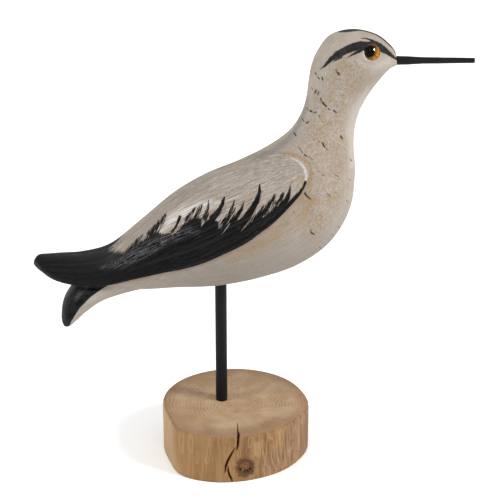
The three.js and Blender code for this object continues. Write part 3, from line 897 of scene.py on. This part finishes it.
# The last two rows close the wing inside the body
wing_inner = [wing_on_body[:, k:k + 1] - wing_root_depth * wing_out[:, k:k + 1] for k in (-1, 0)]
wing_points, wing_faces = skin(np.concatenate([wing_grid] + wing_inner, 1))


def facing_out(points, faces):
    """The faces turned, where needed, so that they enclose a positive volume."""
    volume = sum(
        points[face[0]] @ np.cross(points[face[k]], points[face[k + 1]])
        for face in faces for k in range(1, len(face) - 1))
    return faces if volume > 0 else [face[::-1] for face in faces]


forms = [
    lofted(body_lines, 10, 144), lofted(tail_lines, 10, 96),
    (wing_points, wing_faces), (wing_points * [1, -1, 1], wing_faces),
]
all_points, all_faces, offset = [], [], 0
for form_points, form_faces in forms:
    all_points.append(form_points)
    all_faces += [[offset + k for k in face] for face in facing_out(form_points, form_faces)]
    offset += len(form_points)
bird = mesh_object("carved_shorebird", np.concatenate(all_points) + seat, all_faces)
remesh = bird.modifiers.new("one_piece", "REMESH")
remesh.mode = "VOXEL"
remesh.voxel_size = voxel / 1000
remesh.use_smooth_shade = True
sanded = bird.modifiers.new("sanded", "SMOOTH")
sanded.factor = 0.5
sanded.iterations = 3


def keep_result(piece):
    """Makes a piece's modifiers part of its mesh."""
    made = bpy.data.meshes.new_from_object(piece.evaluated_get(bpy.context.evaluated_depsgraph_get()))
    piece.modifiers.clear()
    piece.data = made


def inside_outline(at, corners):
    """How far inside a closed outline each place is, and less than nothing outside it."""
    closed = [*corners, corners[0]]
    away = -along_run(at, closed, [0] * len(closed))
    inside = np.zeros(len(at), bool)
    for (x0, y0), (x1, y1) in zip(closed, closed[1:]):
        crosses = (y0 > at[:, 1]) != (y1 > at[:, 1])
        inside ^= crosses & (at[:, 0] < x0 + (at[:, 1] - y0) * (x1 - x0) / (y1 - y0 if y1 != y0 else 1))
    return np.where(inside, away, -away)


def on_right(points):
    """Points from the seat, with those of the left side mirrored to the right one."""
    return points * np.where(points[:, 1:2] > 0, -1.0, 1.0) ** np.array([0, 1, 0])


def on_photo(points):
    """Where each point of the bird is painted as in the photograph. The left side takes its mirror image,
    a little off in places, and the painter's middle line lies a little to the left of the carved one."""
    across = points[:, 1] - seat[1]
    folded = np.minimum(across, 2 * painted_middle * (1 - smooth(across, painted_middle, 16)) - across)
    at = in_photo(np.column_stack([points[:, 0], seat[1] + folded, points[:, 2]]))
    left = smooth(across, 6, 20)[:, None]
    return at + left * np.column_stack([1.6 * np.sin(at[:, 1] / 9 + 1), 1.1 * np.sin(at[:, 0] / 11)])


def brushed_black(at):
    """How far inside the black of the wings each place is, with its strokes and the gaps between them."""
    black = inside_outline(at, wing_black_px)
    for run, halves in wing_strokes_px:
        black = np.maximum(black, along_run(at, run, halves))
    for run, halves in wing_gaps_px:
        black = np.minimum(black, -along_run(at, run, halves))
    return black


def brush_way(at):
    """Each place along and aside of lines that bend as the brush strokes do, in pixels."""
    down = at[:, 1] - np.interp(at[:, 0], *stroke_feet_px)
    aside = at[:, 0] + stroke_slant * down + stroke_bend * down * np.abs(down).clip(0, 30) * np.sign(down)
    return np.column_stack([1.2 * at[:, 1], aside, np.zeros(len(at))])


def striped(at):
    """How far inside the eye line and the crown's patch each place is."""
    return np.max([along_run(at, run, halves) for run, halves in eye_stripe_px], axis=0)


def flecked(at):
    """How strongly each place is covered by one of the small dashes."""
    covered = np.zeros(len(at))
    for x0, y0, x1, y1, half, dark in flecks_px:
        inside = along_run(at, [(x0, y0), (x1, y1)], [half, half * 0.8])
        covered = np.maximum(covered, dark * smooth(inside, -0.75, 0.45))
    return covered


keep_result(bird)
# Faces are made finer along the edges of the painted areas
fine = bmesh.new()
fine.from_mesh(bird.data)
fine.faces.ensure_lookup_table()
middles = np.array([face.calc_center_median() for face in fine.faces]) * 1000
at = on_photo(middles)
near_paint = (np.abs(brushed_black(at)) < 1.1) & (middles[:, 2] < wing_top)
near_paint |= (np.abs(striped(at)) < 0.9) | (flecked(at) > 0.05)
chosen = {edge for k in np.flatnonzero(near_paint) for edge in fine.faces[k].edges}
bmesh.ops.subdivide_edges(fine, edges=list(chosen), cuts=1, use_grid_fill=True)
fine.to_mesh(bird.data)
fine.free()

# A low lid of paint round each eye
eye_middle = on_form(body_lines, eye_station, eye_angle)
eye_out = outward(body_lines, np.array(eye_station), eye_angle)
eye_rim = eye_middle - eye_out * eye_sink + eye_shift
points, normals = places_of(bird)
folded = on_right(points - seat)
from_axis = np.linalg.norm(np.cross(folded - eye_rim, eye_out), axis=1)
near_eye = np.linalg.norm(folded - eye_middle, axis=1) < 10
lid = np.where(near_eye, lid_height * np.exp(-(((from_axis - eye_radius - lid_gap) / lid_width) ** 2)), 0)
move(bird, points + normals * lid[:, None])


def bar(start, direction, length, radius, sides=48):
    """Rings of a round bar."""
    direction = np.asarray(direction, float)
    first = np.cross(direction, [0.3, 0.5, 0.8])
    first /= np.linalg.norm(first)
    second = np.cross(direction, first)
    turn = np.arange(sides) * 2 * pi / sides
    ring = radius * (np.outer(np.cos(turn), first) + np.outer(np.sin(turn), second))
    return np.array([start + ring, start + direction * length + ring])


# The holes are cut by bars, joined in one mesh
face_x = body_lines[-1][2] * table_unit
clear_of_bird = 40.0
eye_hole = bar(eye_rim - eye_out * (eye_seat + eye_gap), eye_out, 12.0, eye_radius + eye_gap, 96)
bars = [
    bar([0, 0, -clear_of_bird], [0, 0, 1], clear_of_bird + rod_into_bird + hole_gap, rod_radius + hole_gap),
    bar([face_x - bill_hole_depth, 0, bill_height * table_unit], [1, 0, 0], 30.0, bill_hole_radius),
    eye_hole,
    eye_hole * [1, -1, 1],
]
cut_points, cut_faces = [], []
for rings in bars:
    bar_points, bar_faces = skin(rings)
    cut_faces += [[len(cut_points) + k for k in face] for face in facing_out(bar_points, bar_faces)]
    cut_points += list(bar_points + seat)
cutters = mesh_object("cutters", cut_points, cut_faces)
drill = bird.modifiers.new("holes", "BOOLEAN")
drill.operation = "DIFFERENCE"
drill.object = cutters
drill.solver = "EXACT"
keep_result(bird)
bpy.data.objects.remove(cutters)


def nearest_place(grid, points):
    """Where points lie nearest on a grid of points, in fractions of its rows and columns, and how far off."""
    rows, columns = grid.shape[:2]
    tree = kdtree.KDTree(rows * columns)
    for index, corner in enumerate(grid.reshape(-1, 3).tolist()):
        tree.insert(corner, index)
    tree.balance()
    found = np.array([tree.find(point)[1] for point in points.tolist()])
    row, column = found // columns, found % columns
    by_row, by_column = np.gradient(grid, axis=0)[row, column], np.gradient(grid, axis=1)[row, column]
    step = points - grid[row, column]
    a, b, c = (by_row**2).sum(1), (by_row * by_column).sum(1), (by_column**2).sum(1)
    d, e = (by_row * step).sum(1), (by_column * step).sum(1)
    size = np.maximum(a * c - b * b, 1e-9)
    more = np.clip((c * d - b * e) / size, -1, 1)
    aside = np.clip((a * e - b * d) / size, -1, 1)
    off = np.linalg.norm(step - more[:, None] * by_row - aside[:, None] * by_column, axis=1)
    return np.clip(row + more, 0, rows - 1), np.clip(column + aside, 0, columns - 1), off


def straightened(lines, points):
    """Points as they would lie if the form's middle line were straight, so that grain follows the form."""
    station = np.linspace(0, len(lines) - 1, (len(lines) - 1) * 8 + 1)
    grid = on_form(lines, *np.meshgrid(station, np.linspace(0, 180, 61), indexing="ij"))
    row, _, off = nearest_place(grid, on_right(points))
    tables = spline(lines, station) * table_unit
    middle = (tables[:, 0:2] + tables[:, 2:4]) / 2
    length = np.concatenate([[0], np.cumsum(np.linalg.norm(np.diff(middle, axis=0), axis=1))])
    places = np.arange(len(station))
    upright = tables[:, 0:2] - tables[:, 2:4]
    upright /= np.linalg.norm(upright, axis=1)[:, None]
    height = 0
    for axis in (0, 1):
        above = points[:, 2 * axis] - np.interp(row, places, middle[:, axis])
        height = height + above * np.interp(row, places, upright[:, axis])
    return np.column_stack([np.interp(row, places, length), points[:, 1], height]), off


points, normals = places_of(bird)
local = points - seat
right = on_right(local)
# Patterns on the tail and on the left side don't repeat those of the body and the right side
tail_apart, left_apart = 400, 60.0
at = on_photo(points)
straight, off_body = straightened(body_lines, local)
tail_straight, off_tail = straightened(tail_lines, local)
on_tail = off_tail < off_body - 0.3
straight = np.where(on_tail[:, None], tail_straight + [tail_apart, 0, 0], straight)
run, down, off_wing = nearest_place(wing_grid, right)
run_length = np.interp(run, np.arange(len(wing_run)), np.linspace(0, 220, len(wing_run)))
down_share = np.interp(down, np.arange(wing_rows), wing_down)
width_here = np.interp(run, np.arange(len(wing_run)), wing_width)
inside_edge = (1 - down_share) * width_here
at_side = np.where(local[:, 1] > 0, left_apart, 0.0)
past_wing = smooth(inside_outline(at, neck_foot_px), -2.5, 2.5)
between = 9 - (9 + off_wing) * past_wing
inside_edge = np.where(off_wing < 0.7, inside_edge, np.where(down_share < 0.5, between, -off_wing))
put(bird, "grain", straight)

# On the neck and head the brush went up the nape, over the crown and down the throat
crown_middle = np.array([35.5, 63.5]) * table_unit
crown_radius = 48
aside, above = local[:, 0] - crown_middle[0], local[:, 2] - crown_middle[1]
round_crown = crown_radius * np.arctan2(above, -aside)
up_neck = np.where(aside < 0, above, crown_radius * pi - above)
sweep = np.where(above > 0, round_crown, up_neck)
from_crown = np.where(above > 0, np.hypot(aside, above), np.abs(aside))
put(bird, "profile", np.column_stack([sweep, local[:, 1], from_crown]))
on_neck = smooth(points[:, 2], neck_foot, neck_full)
put(bird, "neckward", on_neck)
put(bird, "swept", on_neck * smooth(from_crown, 5, 13))
beyond = np.where((down_share < 0.02) & (off_wing > 0.2), -off_wing, down_share * 52)
put(bird, "wing", np.column_stack([run_length, beyond, at_side]))
put(bird, "photo", np.column_stack([at, at_side]))
put(bird, "brushed", brushed_black(at))
put(bird, "brush", brush_way(at) + np.column_stack([at_side, at_side, at_side]))
put(bird, "within_edge", inside_edge)
put(bird, "tail", inside_outline(at, tail_black_px))
across = local[:, 1]
forehead_x, forehead_y = np.array(forehead_px).T
below_line = at[:, 1] - np.interp(at[:, 0], forehead_x, forehead_y)
forehead_off = np.abs(across - np.interp(at[:, 0], forehead_x, forehead_left))
forehead = np.interp(at[:, 0], forehead_x, forehead_halves) - forehead_off
on_forehead = (below_line < forehead_down_px) & (at[:, 0] > forehead_back_px)
forehead = np.where(on_forehead, forehead / mm_per_pixel, -9)
put(bird, "stripe", np.where(points[:, 2] > head_foot, np.maximum(striped(at), forehead), -9))
put(bird, "fleck", flecked(at))
dry_runs_px = [
    ([(280, 200), (262, 215), (250, 223)], [8, 10, 7]), ([(230, 212), (219, 226)], [11, 8]),
    ([(200, 214), (186, 222)], [11, 11]), ([(165, 222), (150, 236), (125, 252)], [9, 9, 9]),
]
dry = np.max([along_run(at, run_px, halves) for run_px, halves in dry_runs_px], axis=0)
put(bird, "dry", smooth(dry, 0, 8))
# Runs of stretches in the photograph, half widths, and how far inside each mark starts and is full
bird_marks_px = {
    "fringe": ([(104, 251), (116, 252), (128, 250), (138, 245)], [5, 7, 6, 4], -2, 4),
    # Marks on the black where the paint is worn thin, which also carry painted sheen
    "worn_and_sheen": ([(100, 268), (122, 262), (146, 249), (168, 237), (196, 230)], [4, 9, 11, 9, 6], 0, 8),
    "tip_wear_and_sheen": ([(36, 263), (41, 271), (50, 278), (58, 282)], [1.5, 2, 2, 1.5], -1, 2),
    "tail_wear_and_sheen": ([(76, 299), (80, 292), (86, 288.5)], [2.5, 3.5, 2.5], -1.5, 3),
    # Paler worn paint and a painted highlight along the rounded lip of the shoulder
    "shoulder_wear_and_highlight": (
        [(290, 157.8), (297, 160.6), (302, 164.6), (305.2, 170), (306.3, 176), (305.4, 184)],
        [0.2, 0.5, 0.9, 1.1, 0.9, 0.4], -0.9, 0.7,
    ),
    "stain": ([(284, 155), (296, 157), (303, 163), (308, 172), (309, 184)], [3, 4, 5, 4, 3], -2, 3),
    # Painted light: the front of the breast is lighter where it faces the light
    "lit_breast_front": ([(368, 88), (356, 110), (352, 130), (352, 165)], [3, 6, 7, 4], -1, 4),
    # Painted shade in the hollow where the neck meets the back, fading towards the middle line
    "nape_shade": (
        [(307, 98), (303.5, 112), (298, 125), (290, 137), (280, 147), (266, 154), (250, 160)],
        [1.5, 2.5, 3, 3.2, 3, 2.5, 1], -3, 3,
    ),
    "neck": ([(350, 72), (330, 105), (325, 150), (320, 200), (314, 236)], [24, 22, 28, 28, 12], -2, 14),
    "face": ([(352, 62), (374, 68), (388, 62)], [2, 6, 6], -4, 8),
    "flank": ([(309, 200), (296, 220), (270, 240), (230, 260)], [8, 9, 7, 5], -4, 6),
    "sheen": ([(160, 232), (171, 220), (184, 211), (200, 206), (216, 202)], [3, 6, 7, 6, 3], -3, 6),
}
marks = {
    name: smooth(along_run(at, run_px, halves), start, full)
    for name, (run_px, halves, start, full) in bird_marks_px.items()}
# Worn paint and painted sheen at the wing tips and on the tail
marks["rubbed_and_sheen"] = 0.8 * marks.pop("tip_wear_and_sheen") + 0.7 * marks.pop("tail_wear_and_sheen")
marks["stain"] = marks["stain"] * (inside_edge < 0.2)
marks["nape_shade"] = marks["nape_shade"] * smooth(np.abs(across - 1), 0, 6)
marks["rear"] = 1 - smooth(at[:, 0], 90, 180)
# Painted shade: greyer and darker towards the belly
marks["belly"] = (1 - smooth(points[:, 2], belly_full, belly_top)) * smooth(at[:, 0], 110, 240)
for name, values in marks.items():
    put(bird, name, values)

paint, shader = new_material("brushed_paint")
on_body = 1 - number("neckward")
long_grain = patches(vector("grain", (0.05, 1, 1)), 1.1, detail=4, rough=0.6)
coarse_grain = patches(vector("grain", (0.05, 1, 1)), 3.2, detail=3)
sweeps = patches(vector("profile", (0.06, 1, 1)), 1.1, detail=4, rough=0.6)
stipple = patches(on_piece(), 0.55, detail=2, rough=0.6)
cloud = patches(on_piece(), 22.0, detail=4)
pale = layered("9c948b", [
    (cloud.ramp(0.3, 0.7), "92897e"),
    (long_grain.ramp(0.35, 0.7) * on_body * 0.55, "7d7266"),
    (coarse_grain.ramp(0.52, 0.7) * on_body * 0.4, "8a775f"),
    # Painted shade on the underside
    (number("belly") * 0.65, "7c746c"),
    (number("neckward") * 0.55, cover(cloud.ramp(0.35, 0.65), "91887d", "877b6d")),
    (number("face") * 0.55, "b1a9a1"),
    (sweeps.ramp(0.5, 0.7) * number("swept") * 0.3, "85796c"),
    ((1 - sweeps.ramp(0.32, 0.46)) * number("swept") * 0.4, "aea79f"),
])

# Wings: light and tan lines of the brush that fan out from the shoulder
feather = patches(vector("wing", (0.055, 1, 1)), 1.3, detail=4, rough=0.65, bend=0.5)
feather_fine = patches(vector("wing", (0.09, 1, 1)), 0.6, detail=3, bend=0.4)
feather_thin = patches(vector("wing", (0.09, 1, 1)), 0.75, detail=2, bend=0.4)
on_wing = number("within_edge").ramp(-0.2, 0.8)
pale = layered(pale, [
    (on_wing * 0.65, "81786f"),
    (on_wing * feather.ramp(0.49, 0.62) * 0.6, "726353"),
    (on_wing * (1 - feather.ramp(0.37, 0.47)) * 0.55, "a59d95"),
    (on_wing * feather_thin.ramp(0.55, 0.66) * 0.6, "66543f"),
    (on_wing * feather_fine.ramp(0.54, 0.66) * 0.7, "aca59e"),
])

# Neck and breast: a mottled tan stain that shows through thin grey. Then what lies over it in single places.
mottle = patches(on_piece(), 4.5, detail=5, rough=0.6, bend=1.0)
crackle = patches(on_piece((1, 1, 0.8)), 1.1, detail=4, rough=0.7, bend=0.8)
flecked_grey = patches(on_piece(), 0.8, detail=3, rough=0.7)
neck = number("neck")
grey_specks = neck * 0.55 + number("neckward") * 0.2
streaked = (coarse_grain * 0.7 + mottle * 0.5).ramp(0.42, 0.68)
# A brown band just below each wing's lower edge: a stain, and painted shade under the edge as well
stain_and_shade_below_wing = number("within_edge").ramp(-3.4, -0.3) * (1 - on_wing)
sheen = number("sheen") * (feather_thin.ramp(0.42, 0.58) * 0.7 + feather_fine.ramp(0.5, 0.64) * 0.3)
fleck = (number("fleck") * (crackle * 1.2 + 0.3)).ramp(0.12, 0.8)
pale = layered(pale, [
    (neck * mottle.ramp(0.42, 0.62) * 0.65, "8c7656"),
    (neck * crackle.ramp(0.52, 0.64) * 0.7, "75685a"),
    (neck * (1 - crackle.ramp(0.34, 0.45)) * 0.5, "aea498"),
    (grey_specks * flecked_grey.ramp(0.55, 0.66), "625b53"),
    (number("flank") * (streaked * 0.5 + 0.15), "856f50"),
    (number("stain") * (mottle * 0.9 + 0.15), "8a6b45"),
    # Painted light on the front of the breast
    (number("lit_breast_front") * 0.45, "a7a099"),
    # Painted shade on the nape
    (number("nape_shade") * (long_grain * 0.6 + 0.35), "6c6968"),
    # Worn paint and painted highlight on the shoulder's lip
    (number("shoulder_wear_and_highlight") * on_wing * (feather_thin.ramp(0.3, 0.6) * 0.65), "d6d3d0"),
    (stain_and_shade_below_wing * (long_grain * 0.6 + 0.1), "6e5438"),
    (sheen * 0.8, "d0ccc9"),
    (stipple.ramp(0.56, 0.7) * 0.3, "5f564d"),
    ((1 - stipple.ramp(0.32, 0.44)) * 0.25, "bab4ae"),
    (fleck * 0.92, "1d1713"),
])

# Black: laid on solid, and dragged out with a nearly dry brush along its upper edge
bristles = patches(vector("brush", (0.06, 1, 1)), 1.9, detail=3, rough=0.6)
hairs = patches(vector("brush", (0.05, 1, 1)), 0.8, detail=2, rough=0.5)
specks = patches(vector("brush", (0.3, 1, 1)), 0.8, detail=2, rough=0.7)
dryness = number("dry")
ragged = (bristles - 0.5) * (2.6 + 4.0 * dryness) + (specks - 0.5) * (0.8 + 2.4 * dryness)
ragged = ragged + (hairs - 0.5) * (2.8 + 10.0 * dryness) + 0.35 + 0.5 * dryness
ragged = ragged + (feather_thin - 0.5) * number("fringe") * 16.0
dragged = (number("brushed") + ragged).ramp(-0.45, 0.45)
edge_cut = (number("within_edge") + (long_grain - 0.5) * 0.5).ramp(0.1, 0.5)
tail_cut = (number("tail") + (long_grain - 0.5) * 0.8).ramp(-0.3, 0.3)
strand = patches(vector("photo", (0.14, 1, 1), turn=-32), 0.6, detail=3, rough=0.6)
stripe_cut = (number("stripe") + (strand - 0.5) * 3.4).ramp(-0.3, 0.4)
black = dragged.least(edge_cut).most(tail_cut)
covered = black.most(stripe_cut)
ridges = patches(vector("wing", (0.03, 1, 1)), 1.5, detail=4, rough=0.7)
ridge_specks = patches(vector("wing", (0.14, 1, 1)), 0.6, detail=3, rough=0.75)
rear = number("rear")
# Lighter grey streaks and specks along the ridges of the black are painted sheen
ink = layered("030303", [
    (ridges.ramp(0.5, 0.57) * (0.3 - 0.06 * rear), "2d2b2c"),
    (ridge_specks.ramp(0.56, 0.65) * (0.35 - 0.1 * rear), "3c393a"),
    # Worn paint and painted sheen on the black
    (number("worn_and_sheen") * ridge_specks.ramp(0.5, 0.6) * 0.85, "625f64"),
    (number("rubbed_and_sheen") * (crackle.ramp(0.42, 0.6) * 0.6 + 0.1), "5d5b5f"),
    (number("worn_and_sheen") * ridges.ramp(0.54, 0.62) * specks.ramp(0.45, 0.6) * 0.8, "807e82"),
    (stripe_cut * (strand.ramp(0.46, 0.62) * 0.8 + 0.1), "323133"),
])
colour_now = cover(covered, pale, ink)
rough = 0.62 - 0.16 * black - 0.1 * stripe_cut + 0.1 * ridge_specks * black
brushwork = long_grain * on_body * 0.5 + sweeps * number("swept") * 0.4 + crackle * neck * 0.4
brushwork = brushwork + feather * on_wing * 0.5 + ridges * black * 1.5 + covered * 0.25
give(shader, Base_Color=colour_now, Roughness=rough, Specular_IOR_Level=0.085, Normal=bump(brushwork, 0.3))
bird.data.materials.clear()
bird.data.materials.append(paint)
bird.data.shade_smooth()
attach(bird, "root")
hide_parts("carved_bird")


# The bill is a whittled wooden peg, painted black, whose thinner root is glued in a hole in the face.
bill_low, bill_high = (np.array(corner) * 1000 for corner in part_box("bill"))
bill_root, bill_flare, bill_tip = 2.45, 0.45, 1.68
bill_set_in, bill_set_in_radius = 11.3, 1.8
black_bill, shader = new_material("black_bill_paint")
whittled = patches(on_piece((0.06, 1, 1)), 0.9, detail=4, rough=0.6)
scuffs = patches(on_piece((0.3, 1, 1)), 1.2, detail=3)
bill_colour = layered("0e0d0d", [
    (whittled.ramp(0.45, 0.75) * 0.6, "1c1a19"),
    (scuffs.ramp(0.66, 0.78) * 0.5, "3a3029"),
])
give(
    shader, Base_Color=bill_colour, Roughness=0.45 + 0.15 * scuffs, Specular_IOR_Level=0.13,
    Normal=bump(whittled, 0.18),
)
bill = peg_piece("bill_peg", black_bill, {
    "Length": bill_high[0] - bill_low[0], "Set-in length": bill_set_in, "Set-in radius": bill_set_in_radius,
    "Root radius": bill_root, "Root flare": bill_flare, "Tip radius": bill_tip, "End rounding": 0.4,
    "Unevenness": 0.16,
})
points = places_of(bill)[0][:, [2, 1, 0]] * [1, -1, 1]
bill_middle = (bill_low + bill_high) / 2
move(bill, points + [bill_low[0], bill_middle[1], bill_middle[2]])
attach(bill, "root")
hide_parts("bill")


# Each eye is a flat-backed dome of clear glass, set in a drilled socket. The amber iris and the pupil are
# painted on its back, and are a disc of their own here, sealed in the glass.
eye_dome = 2.9
iris_depth, iris_thickness = 0.35, 0.15
iris_radius = 5.2
pupil_radius = 3.1
pupil_aside = 1.6
glass, shader = new_material("clear_glass")
give(
    shader, Base_Color=(1, 1, 1, 1), Roughness=0.02, IOR=1.5, Transmission_Weight=1.0,
    Specular_Tint=(0.3, 0.3, 0.3, 1),
)
amber, shader = new_material("painted_iris")
iris_rays = patches(vector("iris"), 0.7, detail=3)
iris = layered("523602", [
    (number("from_pupil").ramp(3.0, 5.6), "724c03"),
    (iris_rays.ramp(0.45, 0.68) * 0.2, "3c2402"),
    (number("shaded") * 0.92, "2c1604"),
    (number("from_middle").ramp(4.2, 5.0), "241204"),
    (1 - number("from_pupil").ramp(pupil_radius - 0.2, pupil_radius + 0.15), "030303"),
])
give(shader, Base_Color=iris, Roughness=0.6, Specular_IOR_Level=0.0)


def eye_turn(points):
    """Points of the right eye, made facing +Z, set in its socket."""
    turn = Vector((0, 0, 1)).rotation_difference(Vector(eye_out)).to_matrix()
    return points @ np.array(turn).T + eye_rim


def spun(profile, sides=96):
    """Rings of a turned form, from its outline as radius and height."""
    turn = np.arange(sides) * 2 * pi / sides
    circle = np.column_stack([np.cos(turn), np.sin(turn), np.zeros(sides)])
    return np.array([circle * radius + [0, 0, height] for radius, height in profile])


dome_angles = np.linspace(0, pi / 2, 28)[:-1]
dome = [[0.5 * eye_radius, -eye_seat], [eye_radius - 0.3, -eye_seat], [eye_radius, -eye_seat + 0.3]]
dome += [[eye_radius, -0.4]] + [[eye_radius * cos(a), eye_dome * sin(a)] for a in dome_angles]
iris_back = -iris_depth - iris_thickness
disc = [(0.3, iris_back), (iris_radius, iris_back)]
disc += [(radius, -iris_depth) for radius in np.linspace(iris_radius, 0.3, 30)]
for side, flip in (("right", 1), ("left", -1)):
    for part, profile, material in (("glass", dome, glass), ("iris", disc, amber)):
        flat_points, faces = skin(spun(profile))
        in_socket = eye_turn(flat_points)
        placed = in_socket * [1, flip, 1] + seat
        piece = mesh_object(f"eye_{part}_{side}", placed, facing_out(placed, faces))
        if part == "iris":
            rearward, upward_here = -(in_socket - eye_rim)[:, 0], (in_socket - eye_rim)[:, 2]
            from_pupil = np.hypot(rearward - pupil_aside, upward_here - 0.2)
            put(piece, "from_middle", np.linalg.norm(flat_points[:, :2], axis=1))
            put(piece, "from_pupil", from_pupil)
            ray_way = np.column_stack([rearward - pupil_aside, upward_here]) / (from_pupil + 0.1)[:, None]
            put(piece, "iris", np.column_stack([ray_way * 4, from_pupil / 4]))
            put(piece, "shaded", smooth(1.3 * upward_here + 0.9 * rearward, -2.2, 2.4))
        piece.data.materials.append(material)
        piece.data.shade_smooth()
        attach(piece, "root")
        if part == "glass":
            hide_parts(f"eye_{side}")


# The floor is a wide pale sheet. Two large soft lamps stand far off to the right and the left, the right one
# stronger, and the room itself is dim, so that black paint stays black. A third lights the glass of the eyes
# alone, and is the one bright dot in it. The other two shine through that glass as if it weren't there.
right_lamp, left_lamp = Vector((0.84, -0.36, 0.62)), Vector((-0.74, -0.26, 0.66))
right_power, left_power = 470.0, 285.0
eye_lamp, eye_power = Vector((0.63, -0.42, 0.53)), 1600.0
lamp_distance, lamp_size = 7.0, 2.4
room_light = 0.72
floor_reach = 9e3
floor_corners = [(x * floor_reach, y * floor_reach, 0) for x, y in ((-1, -1), (1, -1), (1, 1), (-1, 1))]
floor = mesh_object("floor", floor_corners, [(0, 1, 2, 3)])
pale_floor, shader = new_material("pale_floor")
give(shader, Base_Color=colour("f8f8f8"), Roughness=0.9)
floor.data.materials.append(pale_floor)

world = bpy.data.worlds.new("dim_room")
world.use_nodes = True
world.node_tree.nodes["Background"].inputs["Color"].default_value = (1, 1, 1, 1)
world.node_tree.nodes["Background"].inputs["Strength"].default_value = room_light
bpy.context.scene.world = world


def soft_lamp(name, direction, power, lit):
    """A round soft lamp that faces the decoy from a direction and lights some of the pieces."""
    data = bpy.data.lights.new(name, "AREA")
    data.shape = "DISK"
    data.size = lamp_size
    data.energy = power
    lamp = bpy.data.objects.new(name, data)
    lamp.location = Vector((0, 0, 0.15)) + direction.normalized() * lamp_distance
    lamp.rotation_euler = (-direction).to_track_quat("-Z", "Y").to_euler()
    lamp.light_linking.receiver_collection = lit
    lamp.light_linking.blocker_collection = other_pieces
    bpy.context.collection.objects.link(lamp)
    return lamp


glass_pieces = bpy.data.collections.new("glass_pieces")
other_pieces = bpy.data.collections.new("other_pieces")
for piece in bpy.context.scene.objects:
    if piece.type == "MESH":
        (glass_pieces if piece.name.startswith("eye_glass") else other_pieces).objects.link(piece)
soft_lamp("right", right_lamp, right_power, other_pieces)
soft_lamp("left", left_lamp, left_power, other_pieces)
eye_light = soft_lamp("eye", eye_lamp, eye_power, glass_pieces)
eye_light.visible_diffuse = eye_light.visible_transmission = False

bpy.context.scene.view_settings.view_transform = "Standard"
